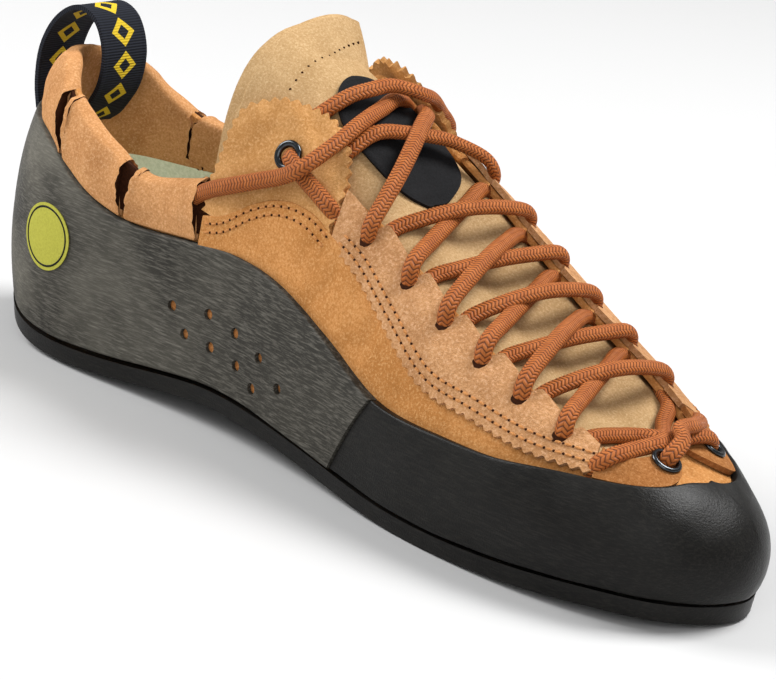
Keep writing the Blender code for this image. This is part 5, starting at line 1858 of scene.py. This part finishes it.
@dataclass
class InsoleWork:
    """The pale lining on the foot bed."""

    coats: Coats
    rubber: RubberWork
    share: float = 0.985
    edge: float = 0.0012

    def build(self) -> None:
        """A thin sheet over the foot bed."""
        shares = np.linspace(-self.share, self.share, 34)
        grid = self.rubber.bed(-self.edge, shares, SOLE_SAG, 130)[4:-4]
        base = np.maximum(grid[..., 2] - GAP - SOLE, 0.0) + SOLE + GAP
        low, high = grid.copy(), grid.copy()
        low[..., 2] = base + GAP
        high[..., 2] = base + GAP + INSOLE
        finish_piece("lining_sheet", solid_grid(high, low), [self.coats.felt], ("insole",))
        t = np.linspace(-LINING_END, LINING_END, 150)
        s = np.linspace(*LINING_S, 24)[None, :] + 0 * t[:, None]
        grid_t = np.broadcast_to(t[:, None], s.shape)
        face = layer(grid_t, s, -0.0008 + 0 * s)
        back = layer(grid_t, s, -0.0002 + 0 * s)
        finish_piece("heel_lining", solid_grid(back, face), [self.coats.felt])


@dataclass(frozen=True)
class Studio:
    """Pale floor, soft light and the camera at the photograph's angle."""

    azimuth: float = 40.5
    elevation: float = 18.0
    roll: float = 7.6
    target: tuple[float, float, float] = (0.08596, -0.005, 0.0314)
    distance: float = 1.0
    lens: float = 183.7

    def camera(self) -> None:
        """Sets the camera, rolled as in the photograph."""
        turn, rise, roll = (math.radians(v) for v in (self.azimuth, self.elevation, self.roll))
        back = Vector((math.sin(turn) * math.cos(rise), -math.cos(turn) * math.cos(rise), math.sin(rise)))
        right = Vector((math.cos(turn), math.sin(turn), 0.0))
        up = back.cross(right)
        rolled_right = right * math.cos(roll) + up * math.sin(roll)
        rolled_up = up * math.cos(roll) - right * math.sin(roll)
        data = bpy.data.cameras.new("camera")
        data.lens = self.lens
        data.sensor_width = 36.0
        data.clip_start = 0.01
        camera = bpy.data.objects.new("camera", data)
        camera.matrix_world = (
            Matrix.Translation(Vector(self.target) + back * self.distance)
            @ Matrix((rolled_right, rolled_up, back)).transposed().to_4x4()
        )
        bpy.context.scene.collection.objects.link(camera)
        bpy.context.scene.camera = camera

    def floor(self) -> None:
        """A wide pale floor."""
        bm = bmesh.new()
        bmesh.ops.create_grid(bm, x_segments=1, y_segments=1, size=6.0)
        mesh = bpy.data.meshes.new("floor")
        bm.to_mesh(mesh)
        bm.free()
        material, tree, shader = new_material("white_studio_paper")
        feed(tree, shader, {"Base Color": linear("#C0C0C0"), "Roughness": 0.9})
        mesh.materials.append(material)
        floor = bpy.data.objects.new("floor", mesh)
        bpy.context.scene.collection.objects.link(floor)

    def lamp(self, name: str, spot: tuple, aim: tuple, size: float, watts: float) -> None:
        """A square soft light.

        Args:
            name: the light's name.
            spot: where it stands.
            aim: where it points.
            size: its side.
            watts: its power.
        """
        data = bpy.data.lights.new(name, "AREA")
        data.size = size
        data.energy = watts
        lamp = bpy.data.objects.new(name, data)
        lamp.location = spot
        lamp.rotation_euler = (Vector(spot) - Vector(aim)).to_track_quat("Z", "Y").to_euler()
        bpy.context.scene.collection.objects.link(lamp)

    def build(self) -> None:
        """The camera, the floor and the lights."""
        self.camera()
        self.floor()
        centre = (0.085, 0.0, 0.04)
        self.lamp("key_box", (0.40, 0.50, 1.0), centre, 0.50, 17.0)
        self.lamp("front_box", (0.75, -0.9, 0.6), centre, 0.9, 5.5)
        self.lamp("left_box", (-0.80, -0.45, 0.75), centre, 0.6, 14.0)
        world = bpy.data.worlds.new("studio")
        world.use_nodes = True
        sky = world.node_tree
        feed(sky, sky.nodes["Background"], {"Color": linear("#FFFFFF"), "Strength": 0.32})
        bpy.context.scene.view_settings.view_transform = "Standard"
        bpy.context.scene.world = world


def main() -> None:
    """Builds the studio and every sub-assembly of the shoe."""
    logging.basicConfig(level=logging.INFO, format="%(name)s: %(message)s")
    Studio().build()
    coats = make_coats()
    stitches = Stitching(coats)
    rubber = RubberWork(coats)
    for work in (
        rubber, InsoleWork(coats, rubber), SuedeWork(coats, stitches), CollarWork(coats),
        TongueWork(coats, stitches), LaceWork(coats),
    ):
        work.build()
        LOG.info("built %s", type(work).__name__)


if __name__ == "__main__":
    main()
